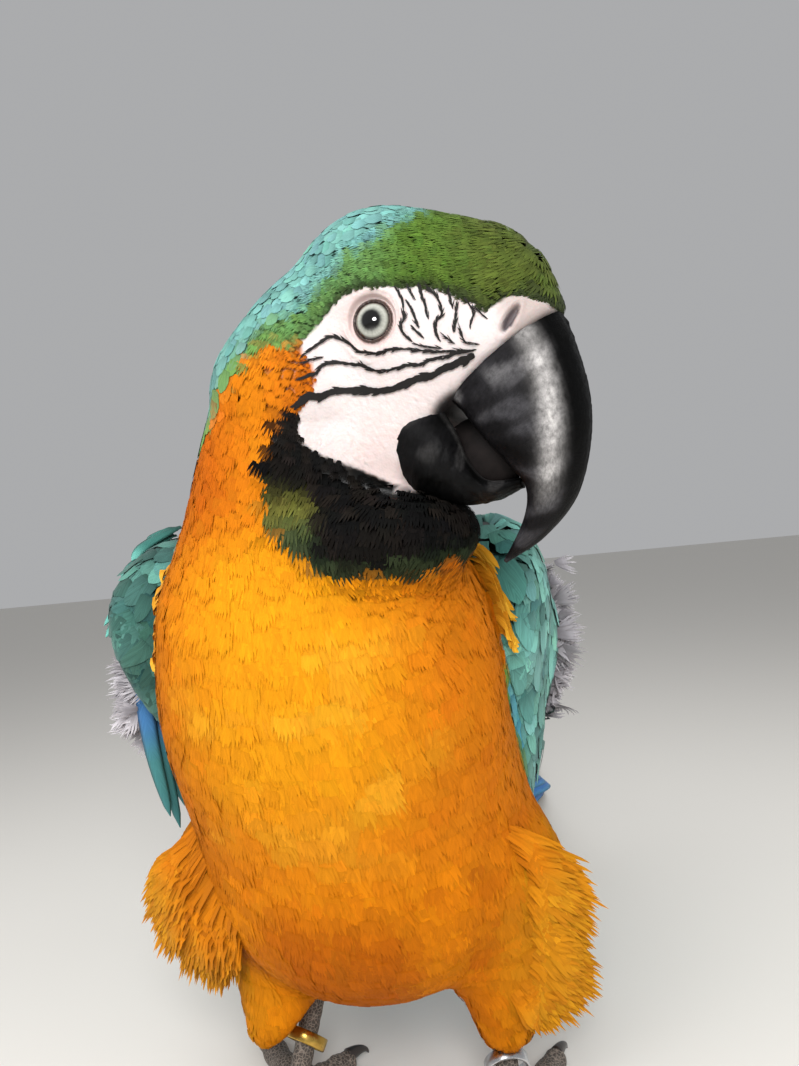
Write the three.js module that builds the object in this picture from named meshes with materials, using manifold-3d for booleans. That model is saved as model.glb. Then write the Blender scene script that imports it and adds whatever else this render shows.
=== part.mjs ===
// A blue-and-yellow macaw (Ara ararauna) at life size, standing, with its head turned to its left.
// Millimetres, +Z up. The bird faces -Y and its left side is towards +X.
// Flesh and plumage are one smooth field of rounded masses, meshed once and parted with thin cuts;
// bill, toes, claws, rings and flight feathers are lofts and lathes.
import * as THREE from "three";
import { mergeVertices } from "three/addons/utils/BufferGeometryUtils.js";
import Module from "manifold-3d";

const wasm = await Module();
wasm.setup();

// ---------- driving dimensions ----------
const GAP = 0.35; // clearance between neighbouring pieces
const BODY_CELL = 11; // mesh cell of trunk and neck
const HEAD_CELL = 4.8; // mesh cell of the head
const WING_CELL = 9.5; // mesh cell of the wing coverts
const TRUNK_YAW = -13; // degrees the trunk is turned about Z, from facing -Y
const HEAD_YAW = 68; // degrees the head is turned to the bird's left, from facing -Y
const HEAD_AT = [22, -67.6, 282]; // midpoint between the eyes
const EYE_RADIUS = 8.4; // eyeball
const EYE_OFFSET = 15.6; // eyeball centre from the head's middle plane
const SHANK_RADIUS = 4.4;
const RING_BORE = 7.1; // leg ring's inner radius
const RING_WALL = 1.2;
const RING_HEIGHT = 4.6;
const RING_TIP = 0.42; // how far the loose ring tips forward on the shank
const RING_UP = { left: 10, right: 12 }; // height of its middle over the knuckle

// ---------- frames ----------
// A frame's axes are forward, left and up; yaw turns forward from -Y towards +X.
function frameAt(origin, yawDegrees) {
  const yaw = THREE.MathUtils.degToRad(yawDegrees);
  const forward = new THREE.Vector3(Math.sin(yaw), -Math.cos(yaw), 0);
  const up = new THREE.Vector3(0, 0, 1);
  const left = new THREE.Vector3().crossVectors(up, forward);
  return new THREE.Matrix4().makeBasis(forward, left, up).setPosition(...origin);
}
const TRUNK = frameAt([0, 0, 0], TRUNK_YAW);
const HEAD = frameAt(HEAD_AT, HEAD_YAW);
const FOOT = { left: frameAt([38, -33, 0], 2), right: frameAt([-43, -5, 0], -6) };
const HEEL = { left: [-21, -1, 36], right: [-18, 11, 54] }; // in the foot's frame
// A wing's frame leans about its forward axis.
const leaning = (frame, degrees) => frame.multiply(new THREE.Matrix4().makeRotationX(THREE.MathUtils.degToRad(degrees)));
const WING = {
  left: leaning(frameAt([59, 40, 152], TRUNK_YAW + 9), -3),
  right: leaning(frameAt([-67, 46, 153], TRUNK_YAW - 12), 5),
};
const at = (frame, x, y, z) => new THREE.Vector3(x, y, z).applyMatrix4(frame);

const direction = (frame, x, y, z) => at(frame, x, y, z).sub(at(frame, 0, 0, 0));
const boxAround = (...corners) => new THREE.Box3().setFromPoints(corners.map((c) => new THREE.Vector3(...c)));

// ---------- fields: signed distances, negative inside ----------
// Ellipsoid with its radii along the frame's axes, pitched nose-down by the given degrees.
function ellipsoid(frame, centre, radii, pitchDegrees = 0) {
  const pitch = new THREE.Matrix4().makeRotationY(THREE.MathUtils.degToRad(pitchDegrees));
  const toLocal = frame.clone();
  toLocal.multiply(new THREE.Matrix4().makeTranslation(...centre)).multiply(pitch).invert();
  const q = new THREE.Vector3();
  const r = new THREE.Vector3(...radii);
  const squared = r.clone().multiply(r);
  return (p) => {
    q.copy(p).applyMatrix4(toLocal);
    const far = Math.hypot(q.x / r.x, q.y / r.y, q.z / r.z);
    const slope = Math.hypot(q.x / squared.x, q.y / squared.y, q.z / squared.z);
    return slope > 0 ? (far * (far - 1)) / slope : -Math.min(...radii);
  };
}

// Rounded cone between two points.
function roundCone(a, b, radiusA, radiusB) {
  const along = b.clone().sub(a);
  const q = new THREE.Vector3();
  return (p) => {
    const share = THREE.MathUtils.clamp(q.copy(p).sub(a).dot(along) / along.lengthSq(), 0, 1);
    return q.copy(a).addScaledVector(along, share).distanceTo(p) - THREE.MathUtils.lerp(radiusA, radiusB, share);
  };
}

// Joins fields with fillets of about the given radius.
function blend(radius, ...fields) {
  return (p) => fields.reduce((sum, field) => {
    const d = field(p);
    const h = Math.max(radius - Math.abs(sum - d), 0) / radius;
    return Math.min(sum, d) - (h * h * radius) / 4;
  }, Infinity);
}

// The side of a plane that lies against its normal.
function behindPlane(point, normal) {
  const n = normal.clone().normalize();
  return (p) => n.dot(p) - n.dot(point);
}
const common = (...fields) => (p) => Math.max(...fields.map((field) => field(p)));

// ---------- meshing ----------
// Meshes a field's zero surface inside a box: one vertex for each cell that the surface
// crosses, drawn onto the surface, and one quad for each grid edge that it crosses.
function surfaceNet(field, box, cell) {
  const size = box.getSize(new THREE.Vector3());
  const [nx, ny, nz] = [size.x, size.y, size.z].map((length) => Math.ceil(length / cell) + 1);
  const index = (i, j, k) => i + nx * (j + ny * k);
  const point = new THREE.Vector3();
  const grid = new Float32Array(nx * ny * nz);
  for (let k = 0; k < nz; k++)
    for (let j = 0; j < ny; j++)
      for (let i = 0; i < nx; i++) {
        const edge = Math.min(i, j, k, nx - 1 - i, ny - 1 - j, nz - 1 - k) === 0; // the box closes the mesh
        const value = field(point.set(i, j, k).multiplyScalar(cell).add(box.min));
        grid[index(i, j, k)] = edge ? Math.max(value, cell / 2) : value;
      }
  const vertices = [];
  const vertexOf = new Int32Array(grid.length).fill(-1);
  const corners = [0, 1, 2, 3, 4, 5, 6, 7].map((c) => [c & 1, (c >> 1) & 1, c >> 2]);
  const edges = corners.flatMap((c, n) => [1, 2, 4].filter((bit) => !(n & bit)).map((bit) => [n, n | bit]));
  for (let k = 0; k < nz - 1; k++)
    for (let j = 0; j < ny - 1; j++)
      for (let i = 0; i < nx - 1; i++) {
        const values = corners.map(([x, y, z]) => grid[index(i + x, j + y, k + z)]);
        const crossed = edges.filter(([a, b]) => values[a] < 0 !== values[b] < 0);
        if (!crossed.length) continue;
        point.set(0, 0, 0);
        for (const [a, b] of crossed) {
          const share = values[a] / (values[a] - values[b]);
          corners[a].forEach((start, axis) => {
            const on = THREE.MathUtils.lerp(start, corners[b][axis], share);
            point.setComponent(axis, point.getComponent(axis) + on / crossed.length);
          });
        }
        point.add(new THREE.Vector3(i, j, k)).multiplyScalar(cell).add(box.min);
        vertexOf[index(i, j, k)] = vertices.length;
        vertices.push(drawnOnto(field, point, cell));
      }
  const triangles = [];
  const steps = [[1, 0, 0], [0, 1, 0], [0, 0, 1]];
  for (let k = 0; k < nz - 1; k++)
    for (let j = 0; j < ny - 1; j++)
      for (let i = 0; i < nx - 1; i++)
        steps.forEach(([x, y, z], axis) => {
          const inside = grid[index(i, j, k)] < 0;
          if (inside === grid[index(i + x, j + y, k + z)] < 0) return;
          const [u, v] = [steps[(axis + 1) % 3], steps[(axis + 2) % 3]];
          const [a, b, c, d] = [[0, 0], [1, 0], [1, 1], [0, 1]].map(([m, n]) =>
            vertexOf[index(i - m * u[0] - n * v[0], j - m * u[1] - n * v[1], k - m * u[2] - n * v[2])]);
          triangles.push(...(inside ? [a, b, c, a, c, d] : [a, c, b, a, d, c]));
        });
  return meshOf(vertices, triangles);
}

// A point moved onto a field's surface along the field's slope, by at most half a cell.
function drawnOnto(field, start, cell) {
  const p = start.clone();
  const step = 0.5;
  for (let turn = 0; turn < 3; turn++) {
    const d = field(p);
    const slope = new THREE.Vector3();
    for (const axis of [0, 1, 2]) {
      const q = p.clone();
      q.setComponent(axis, q.getComponent(axis) + step);
      slope.setComponent(axis, (field(q) - d) / step);
    }
    if (slope.length() > 0.1) p.addScaledVector(slope, -d / slope.lengthSq());
  }
  return p.clone().sub(start).length() < cell / 2 ? p : start.clone();
}

function meshOf(vertices, triangles) {
  const geometry = new THREE.BufferGeometry().setFromPoints(vertices);
  return geometry.setIndex(triangles);
}

const samples = (count) => Array.from({ length: count }, (_, n) => n / (count - 1));

// Ring of points round a centre, in the plane of two half-axes.
function ringOf(sides, centre, halfA, halfB, shape = (x, y) => [x, y]) {
  return Array.from({ length: sides }, (_, s) => {
    const turn = (2 * Math.PI * (s + 0.5)) / sides;
    const [x, y] = shape(Math.cos(turn), Math.sin(turn));
    return centre.clone().addScaledVector(halfA, x).addScaledVector(halfB, y);
  });
}

// Closed tube through rings of points, with the same count in each ring.
function loft(rings) {
  const sides = rings[0].length;
  const vertices = rings.flat();
  const triangles = [];
  const middle = (ring) => ring.reduce((sum, p) => sum.add(p), new THREE.Vector3()).divideScalar(sides);
  for (let r = 0; r < rings.length - 1; r++)
    for (let s = 0; s < sides; s++) {
      const [a, b] = [r * sides + s, r * sides + ((s + 1) % sides)];
      triangles.push(a, b, b + sides, a, b + sides, a + sides);
    }
  const [first, last] = [vertices.push(middle(rings[0])) - 1, vertices.push(middle(rings.at(-1))) - 1];
  for (let s = 0; s < sides; s++) {
    const end = (rings.length - 1) * sides;
    triangles.push(first, (s + 1) % sides, s, last, end + s, end + ((s + 1) % sides));
  }
  return outward(meshOf(vertices, triangles));
}

// Turns every face round if the mesh encloses a negative volume.
function outward(geometry) {
  const p = geometry.getAttribute("position");
  const order = geometry.index.array;
  const [a, b, c] = [new THREE.Vector3(), new THREE.Vector3(), new THREE.Vector3()];
  let volume = 0;
  for (let i = 0; i < order.length; i += 3) {
    [a, b, c].forEach((corner, n) => corner.fromBufferAttribute(p, order[i + n]));
    volume += a.dot(b.clone().cross(c));
  }
  if (volume < 0) for (let i = 0; i < order.length; i += 3) [order[i + 1], order[i + 2]] = [order[i + 2], order[i + 1]];
  return geometry;
}

// ---------- cutting and joining ----------
function solid(geometry) {
  const bare = new THREE.BufferGeometry().setAttribute("position", geometry.getAttribute("position"));
  bare.setIndex(geometry.index);
  const merged = mergeVertices(bare, 1e-3);
  const mesh = new wasm.Mesh({
    numProp: 3,
    vertProperties: new Float32Array(merged.getAttribute("position").array),
    triVerts: new Uint32Array(merged.index.array),
  });
  return new wasm.Manifold(mesh);
}

function geometryOf(piece) {
  const mesh = piece.getMesh();
  const geometry = new THREE.BufferGeometry();
  geometry.setAttribute("position", new THREE.BufferAttribute(new Float32Array(mesh.vertProperties), 3));
  return geometry.setIndex(new THREE.BufferAttribute(new Uint32Array(mesh.triVerts), 1));
}

// The same solid grown by a distance along its vertex normals.
function grown(piece, distance = GAP) {
  const geometry = geometryOf(piece);
  geometry.computeVertexNormals();
  const p = geometry.getAttribute("position");
  const n = geometry.getAttribute("normal");
  for (let i = 0; i < p.count; i++)
    p.setXYZ(i, p.getX(i) + n.getX(i) * distance, p.getY(i) + n.getY(i) * distance, p.getZ(i) + n.getZ(i) * distance);
  return solid(geometry);
}

// The part of a solid on the side that the normal points to, half a gap past the plane.
function ahead(piece, point, normal) {
  const n = normal.clone().normalize();
  return piece.trimByPlane(n.toArray(), n.dot(point) + GAP / 2);
}
const behind = (piece, point, normal) => ahead(piece, point, normal.clone().negate());

// The largest of a solid's separate bodies, so that a cut leaves no crumbs.
function largest(piece) {
  return piece.decompose().reduce((best, body) => (body.volume() > best.volume() ? body : best));
}

// ---------- the masses of the bird ----------
const billPlane = [at(HEAD, 34.2, 0, -14.3), direction(HEAD, 0.57, 0, -0.82)]; // where the upper bill leaves the skin
const chinPlane = [at(HEAD, 5, 0, -39.4), direction(HEAD, 0.88, 0, -0.47)]; // where the lower bill leaves it
const face = blend(
  11,
  ellipsoid(HEAD, [-5, 0, 11], [30, 24, 29.3]), // crown
  ellipsoid(HEAD, [16, 0, 5.5], [33.5, 19, 26]), // forehead
  ellipsoid(HEAD, [7, 0, -14], [28, 20.5, 25]), // cheeks
  ellipsoid(HEAD, [36, 0, -8], [17, 14, 12]), // cere
);
const throat = blend(
  8,
  common(ellipsoid(HEAD, [-6, 0, -34], [24, 18.5, 22]), behindPlane(...chinPlane)), // chin
  ellipsoid(HEAD, [-14, 0, -63], [33, 30, 17.5]), // bib
);
const nape = roundCone(at(HEAD, -36, 0, -15), at(TRUNK, 32, -9, 205), 30.5, 52.5);
const body = blend(
  24,
  ellipsoid(TRUNK, [30, -8, 162], [50, 63, 60]), // chest
  ellipsoid(TRUNK, [8, -6, 106], [54, 65, 62]), // belly
  ellipsoid(TRUNK, [-22, -6, 145], [50, 55, 84], 28), // mantle
  ellipsoid(TRUNK, [-74, 0, 92], [52, 40, 28], -24), // rump
  roundCone(at(TRUNK, -96, 0, 70), at(TRUNK, -185, 0, 38), 26, 9), // tail coverts
);
const legs = blend(
  14,
  roundCone(at(TRUNK, 4, 38, 88), at(FOOT.left, -9, 1, 40.5), 31, 14.5), // left thigh
  roundCone(at(TRUNK, 0, -44, 88), at(FOOT.right, 4, -3, 37), 31, 14), // right thigh
  roundCone(at(TRUNK, -10, 50, 75), at(TRUNK, -14, 64, 33), 24, 15), // left flank's loose feathers
  roundCone(at(TRUNK, 10, -72, 98), at(TRUNK, 8, -86, 64), 27, 17), // right flank's loose feathers
);
const whole = blend(10, blend(10, common(face, behindPlane(...billPlane)), throat, nape), body, legs);

// ---------- nodes ----------
const group = new THREE.Group();
function add(name, piece, colour, roughness = 0.8, metalness = 0) {
  const mesh = new THREE.Mesh(
    geometryOf(largest(piece)),
    new THREE.MeshStandardMaterial({ color: colour, roughness, metalness }),
  );
  mesh.name = name;
  group.add(mesh);
}
const ORANGE = "#e8901a";
const TURQUOISE = "#3fa39a";
const BLUE = "#2f74b8";
const BLACK = "#1b1b1d";
const HIDE = "#4a4644";

// Flesh, parted by planes.
const bodyNet = largest(solid(surfaceNet(whole, boxAround([-134, -131, 6], [118, 230, 345]), BODY_CELL)).simplify(2));
const headNet = largest(solid(surfaceNet(whole, boxAround([-75, -125, 175], [85, 5, 335]), HEAD_CELL)).simplify(0.75));
const cuts = {
  head: [at(HEAD, -16, 0, -26), direction(HEAD, 0.84, 0, 0.54)],
  neck: [at(TRUNK, 25, -8, 205), direction(TRUNK, 0.3, 0, 0.95)],
  left: [at(TRUNK, 0, 30, 68), direction(TRUNK, 0, 0.66, -0.75)],
  right: [at(TRUNK, 0, -36, 72), direction(TRUNK, 0, -0.66, -0.75)],
};

// Bill: each section spans from the ridge line to the cutting edge.
function billHalf(ridge, edge, halfWidths, sections, sides) {
  const curve = (points) => new THREE.CatmullRomCurve3(points.map(([x, z]) => at(HEAD, x, 0, z)));
  const [outer, inner] = [curve(ridge), curve(edge)];
  const width = new THREE.SplineCurve(halfWidths.map((w, n) => new THREE.Vector2(n, w)));
  return solid(loft(samples(sections).map((t) => {
    const [a, b] = [outer.getPoint(t), inner.getPoint(t)];
    const centre = a.clone().add(b).multiplyScalar(0.5);
    const across = direction(HEAD, 0, width.getPoint(t).y, 0);
    return ringOf(sides, centre, a.sub(centre), across, (x, y) => [x, y * (1 - 0.16 * x)]);
  })));
}
const upperLoft = billHalf(
  [[34, 3], [49, 0], [55.5, -18], [56.5, -36], [51, -55], [40, -67], [27.5, -74]],
  [[12, -20], [21, -28], [25, -37], [30, -46], [36, -52], [34, -61], [26.8, -73]],
  [14, 16.5, 16, 13.5, 9.5, 5.5, 0.9],
  12,
  14,
);
const lowerLoft = billHalf(
  [[-8, -46], [1, -53], [11, -55.5], [20, -55.5], [28, -54], [32, -50]],
  [[6, -22], [16, -27], [22, -35], [26, -42], [29, -47], [31, -49.5]],
  [17, 18, 16.5, 13, 9, 3],
  9,
  14,
);
// Ellipsoid solid in the head's frame.
function headBall(centre, radii, [around, down]) {
  const ball = new THREE.SphereGeometry(1, around, down).scale(radii[0], radii[1], radii[2]);
  return solid(ball.applyMatrix4(HEAD.clone().multiply(new THREE.Matrix4().makeTranslation(...centre))));
}
const eyes = [1, -1].map((side) => headBall([0, side * EYE_OFFSET, 0], Array(3).fill(EYE_RADIUS), [12, 7]));
let headPiece = ahead(headNet, ...cuts.head);
eyes.forEach((eye) => (headPiece = headPiece.subtract(grown(eye, 0.5))));
for (const side of [1, -1]) // the lids' opening
  headPiece = headPiece.subtract(headBall([0, side * (EYE_OFFSET + 8.4), 0], [7, 5.2, 7], [14, 8]));
const mouth = headBall([27, 0, -41], [15, 11, 9], [14, 8]);
const [billFoot, billAxis] = billPlane;
const base = [billFoot.clone().addScaledVector(billAxis, 0.4), billAxis];
const upperPiece = largest(ahead(upperLoft, ...base).subtract(mouth).subtract(grown(headPiece, 0.5)).simplify(0.15));
const lowerPiece = largest(ahead(lowerLoft, ...base).subtract(grown(headPiece, 0.45)).subtract(grown(upperPiece)).subtract(mouth).simplify(0.2));
const tongue = headBall([22, 0, -41], [12, 7.5, 8], [10, 6]);

add("head", headPiece, "#4f7a2f");
add("neck", ahead(behind(bodyNet, ...cuts.head), ...cuts.neck), ORANGE);
add("upper_bill", upperPiece, BLACK, 0.35);
add("lower_bill", lowerPiece, BLACK, 0.4);
add("tongue", tongue.subtract(grown(headPiece)).subtract(grown(upperPiece)).subtract(grown(lowerPiece)), "#8d7c78", 0.6);
add("eye_left", eyes[0], "#d9dcc4", 0.1);
add("eye_right", eyes[1], "#d9dcc4", 0.1);

// Feet: a short shank and pad, with two toes forward and two back.
const toePlans = {
  inner_front: [-14, 36, 5.6],
  outer_front: [22, 52, 6],
  outer_back: [146, 43, 5.8],
  inner_back: [-140, 27, 5.4],
};
const rooms = {};
const RING_COLOUR = { left: "#c9ccd0", right: "#c8ab6a" };
for (const [side, out] of [["left", 1], ["right", -1]]) {
  const foot = FOOT[side];
  const heel = at(foot, ...HEEL[side]);
  const knuckle = at(foot, 1, 0, 11);
  const shank = loft([0, 0.5, 1].map((t) =>
    ringOf(9, knuckle.clone().lerp(heel, t), direction(foot, 0, SHANK_RADIUS + 0.5 * t, 0),
      direction(foot, SHANK_RADIUS + 0.5 * t, 0, SHANK_RADIUS * 0.7))));
  const pad = new THREE.SphereGeometry(1, 10, 6).rotateX(Math.PI / 2).scale(9, 9, 6).translate(0, 0, 6.8);
  const shankPiece = solid(shank).add(solid(pad.applyMatrix4(foot)));
  add("foot_" + side, shankPiece, HIDE, 0.7);

  // A closed band round the shank, with clear room for it in the feathers above.
  const along = knuckle.clone().sub(heel).normalize();
  const tipped = along.clone().add(new THREE.Vector3(0, 0, RING_TIP)).normalize();
  const band = (inner, outer, height) => {
    const profile = [[inner, -height], [outer, -height], [outer, height], [inner, height], [inner, -height]];
    const ring = new THREE.LatheGeometry(profile.map(([x, y]) => new THREE.Vector2(x, y / 2)), 18);
    ring.applyQuaternion(new THREE.Quaternion().setFromUnitVectors(new THREE.Vector3(0, 1, 0), tipped));
    const middle = knuckle.clone().lerp(heel, RING_UP[side] / (heel.z - knuckle.z));
    return solid(outward(ring.translate(...middle.toArray())));
  };
  add("leg_ring_" + side, band(RING_BORE, RING_BORE + RING_WALL, RING_HEIGHT), RING_COLOUR[side], 0.3, 1);
  rooms[side] = [grown(shankPiece, 0.6), band(0, RING_BORE + RING_WALL + 0.8, RING_HEIGHT + 2.2)];

  for (const [toeName, [angle, length, radius]] of Object.entries(toePlans)) {
    const turned = (degrees) => foot.clone().multiply(new THREE.Matrix4().makeRotationZ(THREE.MathUtils.degToRad(degrees * out)));
    const ray = turned(angle);
    // Each joint of the toe has a pad under it; the sole is flat on the floor.
    const toe = loft(samples(6).map((t) => {
      const r = radius * (1 - 0.22 * t) * (1 + 0.07 * Math.cos(t * 6 * Math.PI)) * (t === 1 ? 0.6 : 1);
      const centre = at(ray, 4 + (length - 4) * t, 0, r * 0.84);
      return ringOf(8, centre, direction(ray, 0, r, 0), direction(ray, 0, 0, r)).map((p) => p.setZ(Math.max(p.z, 0)));
    }));
    // Planes half-way to the other toes part their roots.
    const toePiece = Object.values(toePlans).filter(([other]) => other !== angle).reduce(
      (piece, [other]) => ahead(piece, at(foot, 0, 0, 0), direction(ray, 1, 0, 0).sub(direction(turned(other), 1, 0, 0))),
      ahead(solid(toe), at(ray, 9.6, 0, 0), direction(ray, 1, 0, 0)),
    );
    const claw = loft(samples(5).map((t) => {
      const bend = t * 1.5;
      const centre = at(ray, length - 2.5 + 11 * Math.sin(bend), 0, 5.6 + 1.5 - 1.5 * (1 - t) - 5.8 * (1 - Math.cos(bend)));
      const r = 3 * (1 - t) + 0.45;
      const forward = new THREE.Vector3(Math.sin(bend) * 0.9, 0, Math.cos(bend));
      return ringOf(6, centre, direction(ray, 0, r * 0.8, 0), direction(ray, forward.x * r, 0, forward.z * r));
    }));
    add("toe_" + side + "_" + toeName, toePiece.simplify(0.15), HIDE, 0.7);
    add("claw_" + side + "_" + toeName, ahead(solid(claw), at(ray, length + GAP / 2, 0, 0), direction(ray, 1, 0, 0)), BLACK, 0.35);
  }
}

// Thighs and trunk, with room for the shanks.
const without = (piece, ...others) => others.reduce((rest, other) => rest.subtract(other), piece);
let trunkPiece = behind(bodyNet, ...cuts.neck);
for (const side of ["left", "right"]) {
  add("thigh_" + side, without(ahead(trunkPiece, ...cuts[side]), ...rooms[side]).simplify(0.1), ORANGE);
  trunkPiece = behind(trunkPiece, ...cuts[side]);
}
add("trunk", without(trunkPiece, rooms.left[0], rooms.right[0]).simplify(0.1), ORANGE);

// Wings: coverts over the shoulder and arm, then the folded blade of flight feathers.
const bodyRoom = grown(bodyNet.simplify(2.2), 3);
const blades = {};
for (const [side, out] of [["left", 1], ["right", -1]]) {
  const wing = WING[side];
  const coverts = blend(
    14,
    ellipsoid(wing, [-28, 0, -8], [106, 16, 43], -33), // the shield of coverts
    ellipsoid(wing, [18, -9 * out, 38], [42, 23, 32], -30), // shoulder
    ellipsoid(wing, [6, -3 * out, -24], [32, 13, 42], -10), // the lower fore edge
    ellipsoid(wing, [-50, -18 * out, 8], [60, 24, 24], -36), // scapulars
    ellipsoid(wing, [8, 17 * out, 16], [12, 11, 19]), // tuft of down
  );
  const box = new THREE.Box3().setFromCenterAndSize(at(wing, 0, 0, 0), new THREE.Vector3(200, 290, 220));
  const net = solid(surfaceNet(coverts, box, WING_CELL)).simplify(0.8);
  const covertPiece = largest(net.subtract(bodyRoom).simplify(1.3));
  // The blade lies steep at the arm and rolls over the rump towards the tail.
  const line = new THREE.CatmullRomCurve3([
    at(wing, 4, -3 * out, -32),
    at(wing, -70, -6 * out, -52),
    at(TRUNK, -190, 34 * out, 74),
    at(TRUNK, -318, 13 * out, 34),
  ]);
  const blade = solid(loft(samples(8).map((t) => {
    const tall = 42 * Math.pow(1 - t, 0.7) * Math.min(1, 0.5 + 2.5 * t) + 3;
    const lean = Math.min(1.3, 2 * t);
    const rise = direction(wing, 0.3, -lean * out, 1).normalize();
    const thin = line.getTangent(t).cross(rise).normalize();
    return ringOf(6, line.getPoint(t), thin.multiplyScalar(5 - 3 * t), rise.multiplyScalar(tall));
  })));
  const shared = side === "left" ? [] : [grown(blades.left, 0.6)];
  blades[side] = largest(without(blade, bodyRoom, grown(covertPiece, 2.4), ...shared).simplify(0.08));
  add("wing_" + side, covertPiece, TURQUOISE);
  add("flight_" + side, blades[side], BLUE);
}

// Tail: graduated feathers laid back along the floor.
function tailFeather(offset, length, fan, width, height) {
  const line = new THREE.CatmullRomCurve3([
    at(TRUNK, -118, offset * 0.5, 60 + height),
    at(TRUNK, -190, offset, 39 + height),
    at(TRUNK, -118 - length * 0.5, offset + fan * 0.4, 12 + 0.08 * (440 - length) + height * 0.7),
    at(TRUNK, -118 - length * 0.75, offset + fan * 0.7, 4 + 0.05 * (440 - length) + height * 0.5),
    at(TRUNK, -118 - length, offset + fan, 1.6 + height * 0.3),
  ]);
  return solid(loft(samples(9).map((t) => {
    const w = width * Math.min(1, 0.5 + 2 * t) * Math.sqrt(Math.max(1 - Math.pow(t, 6), 0.006)) * (1 - 0.35 * t);
    return ringOf(6, line.getPoint(t), direction(TRUNK, 0, w, 0), direction(TRUNK, 0, 0, 1.7))
      .map((p) => p.setZ(Math.max(p.z, 0)));
  })));
}
const tailSide = (sign) => [[3, 360, 12, 15, -1], [8, 300, 16, 15, -2.5], [13, 235, 20, 14, -4]]
  .map(([offset, length, fan, width, height]) => tailFeather(sign * offset, length, sign * fan, width, height))
  .reduce((sum, feather) => sum.add(feather));
const central = tailFeather(0, 440, 0, 17, 3.2).subtract(bodyRoom);
add("tail_central", central, BLUE);
const [tailLeft, tailRight] = [1, -1].map(tailSide);
const tailMiddle = [at(TRUNK, 0, 0, 0), direction(TRUNK, 0, 1, 0)];
const tailRooms = [bodyRoom, grown(largest(central), 0.4)];
add("tail_left", without(ahead(tailLeft, ...tailMiddle), ...tailRooms).simplify(0.1), BLUE);
add("tail_right", without(behind(tailRight, ...tailMiddle), ...tailRooms).simplify(0.1), BLUE);

// The origin is the middle of the base.
const bounds = new THREE.Box3().setFromObject(group);
group.position.set(-(bounds.min.x + bounds.max.x) / 2, -(bounds.min.y + bounds.max.y) / 2, -bounds.min.z);

export default group;
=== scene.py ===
"""A blue-and-yellow macaw at life size: skin, plumage, bill, eyes, feet and rings over its solids.

Shapes are worked out in millimetres, in the frame of the solids, and written to Blender in metres.
Two fields are shared by the pieces: the smooth form of the body, and the markings of its coat.
"""
import bpy
import bmesh
import math
import numpy as np
from mathutils import Matrix, Vector


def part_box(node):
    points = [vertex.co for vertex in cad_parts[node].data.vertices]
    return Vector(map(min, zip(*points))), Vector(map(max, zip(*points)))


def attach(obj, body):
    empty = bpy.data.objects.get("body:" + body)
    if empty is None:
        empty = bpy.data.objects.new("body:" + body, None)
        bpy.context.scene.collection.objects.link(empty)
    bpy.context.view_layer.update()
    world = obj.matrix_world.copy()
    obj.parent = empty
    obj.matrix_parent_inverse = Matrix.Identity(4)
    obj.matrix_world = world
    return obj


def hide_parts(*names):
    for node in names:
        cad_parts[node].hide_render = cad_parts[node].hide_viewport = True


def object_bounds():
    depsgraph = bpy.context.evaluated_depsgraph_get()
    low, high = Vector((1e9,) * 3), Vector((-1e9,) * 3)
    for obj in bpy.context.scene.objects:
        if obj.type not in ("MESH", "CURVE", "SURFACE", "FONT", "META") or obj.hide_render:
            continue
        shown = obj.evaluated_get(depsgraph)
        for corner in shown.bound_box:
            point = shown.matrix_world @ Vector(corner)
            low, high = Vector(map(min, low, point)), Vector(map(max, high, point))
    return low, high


bl_info = {
    "name": "Macaw builder",
    "version": (1, 0, 0),
    "blender": (4, 5, 0),
    "location": "3D View > Sidebar > Macaw",
    "description": "Builds a life-size blue-and-yellow macaw, standing with its head turned",
    "category": "Add Mesh",
}

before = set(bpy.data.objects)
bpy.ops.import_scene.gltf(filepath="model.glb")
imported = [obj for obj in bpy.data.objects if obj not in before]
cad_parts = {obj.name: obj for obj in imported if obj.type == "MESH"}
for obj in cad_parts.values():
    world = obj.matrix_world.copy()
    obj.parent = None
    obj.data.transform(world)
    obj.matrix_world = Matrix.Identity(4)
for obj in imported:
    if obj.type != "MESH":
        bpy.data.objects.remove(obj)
CAD_BOX = [list(corner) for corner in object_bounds()]
MM = 0.001
SEED = 11


# ---------- small maths ----------
def unit(v):
    """Vectors at length one."""
    return v / np.maximum(np.linalg.norm(v, axis=-1, keepdims=True), 1e-9)


def smooth(low, high, x):
    """0 below low, 1 above high, and an S between."""
    t = np.clip((x - low) / (high - low), 0.0, 1.0)
    return t * t * (3 - 2 * t)


def mixed(a, b, share):
    """a at share 0 and b at share 1, for colours and vectors of many points."""
    return a + (b - a) * np.asarray(share)[..., None]


def wobble(p, size, seed=0):
    """Smooth noise of about -1 to 1 over points in millimetres, from a few turned sine waves."""
    turn = np.random.default_rng(900 + seed)
    total = np.zeros(len(p))
    for octave in range(5):
        way = unit(turn.normal(size=3))
        bend = unit(turn.normal(size=3))
        length = size * turn.uniform(0.6, 1.5)
        phase = turn.uniform(0, 6.3)
        total += np.sin(p @ way * 6.283 / length + phase + 1.7 * np.sin(p @ bend * 6.283 / (length * 1.9)))
    return total / 2.6


def catmull(points, t):
    """Points at shares t of a smooth curve through the given points."""
    points = np.asarray(points, float)
    spans = len(points) - 1
    x = np.clip(np.asarray(t, float), 0, 1) * spans
    i = np.minimum(x.astype(int), spans - 1)
    f = (x - i)[:, None]
    padded = np.vstack([2 * points[0] - points[1], points, 2 * points[-1] - points[-2]])
    a, b, c, d = (padded[i + k] for k in range(4))
    return 0.5 * (2 * b + (c - a) * f + (2 * a - 5 * b + 4 * c - d) * f ** 2 + (3 * b - 3 * c + d - a)
                  * f ** 3)


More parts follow.
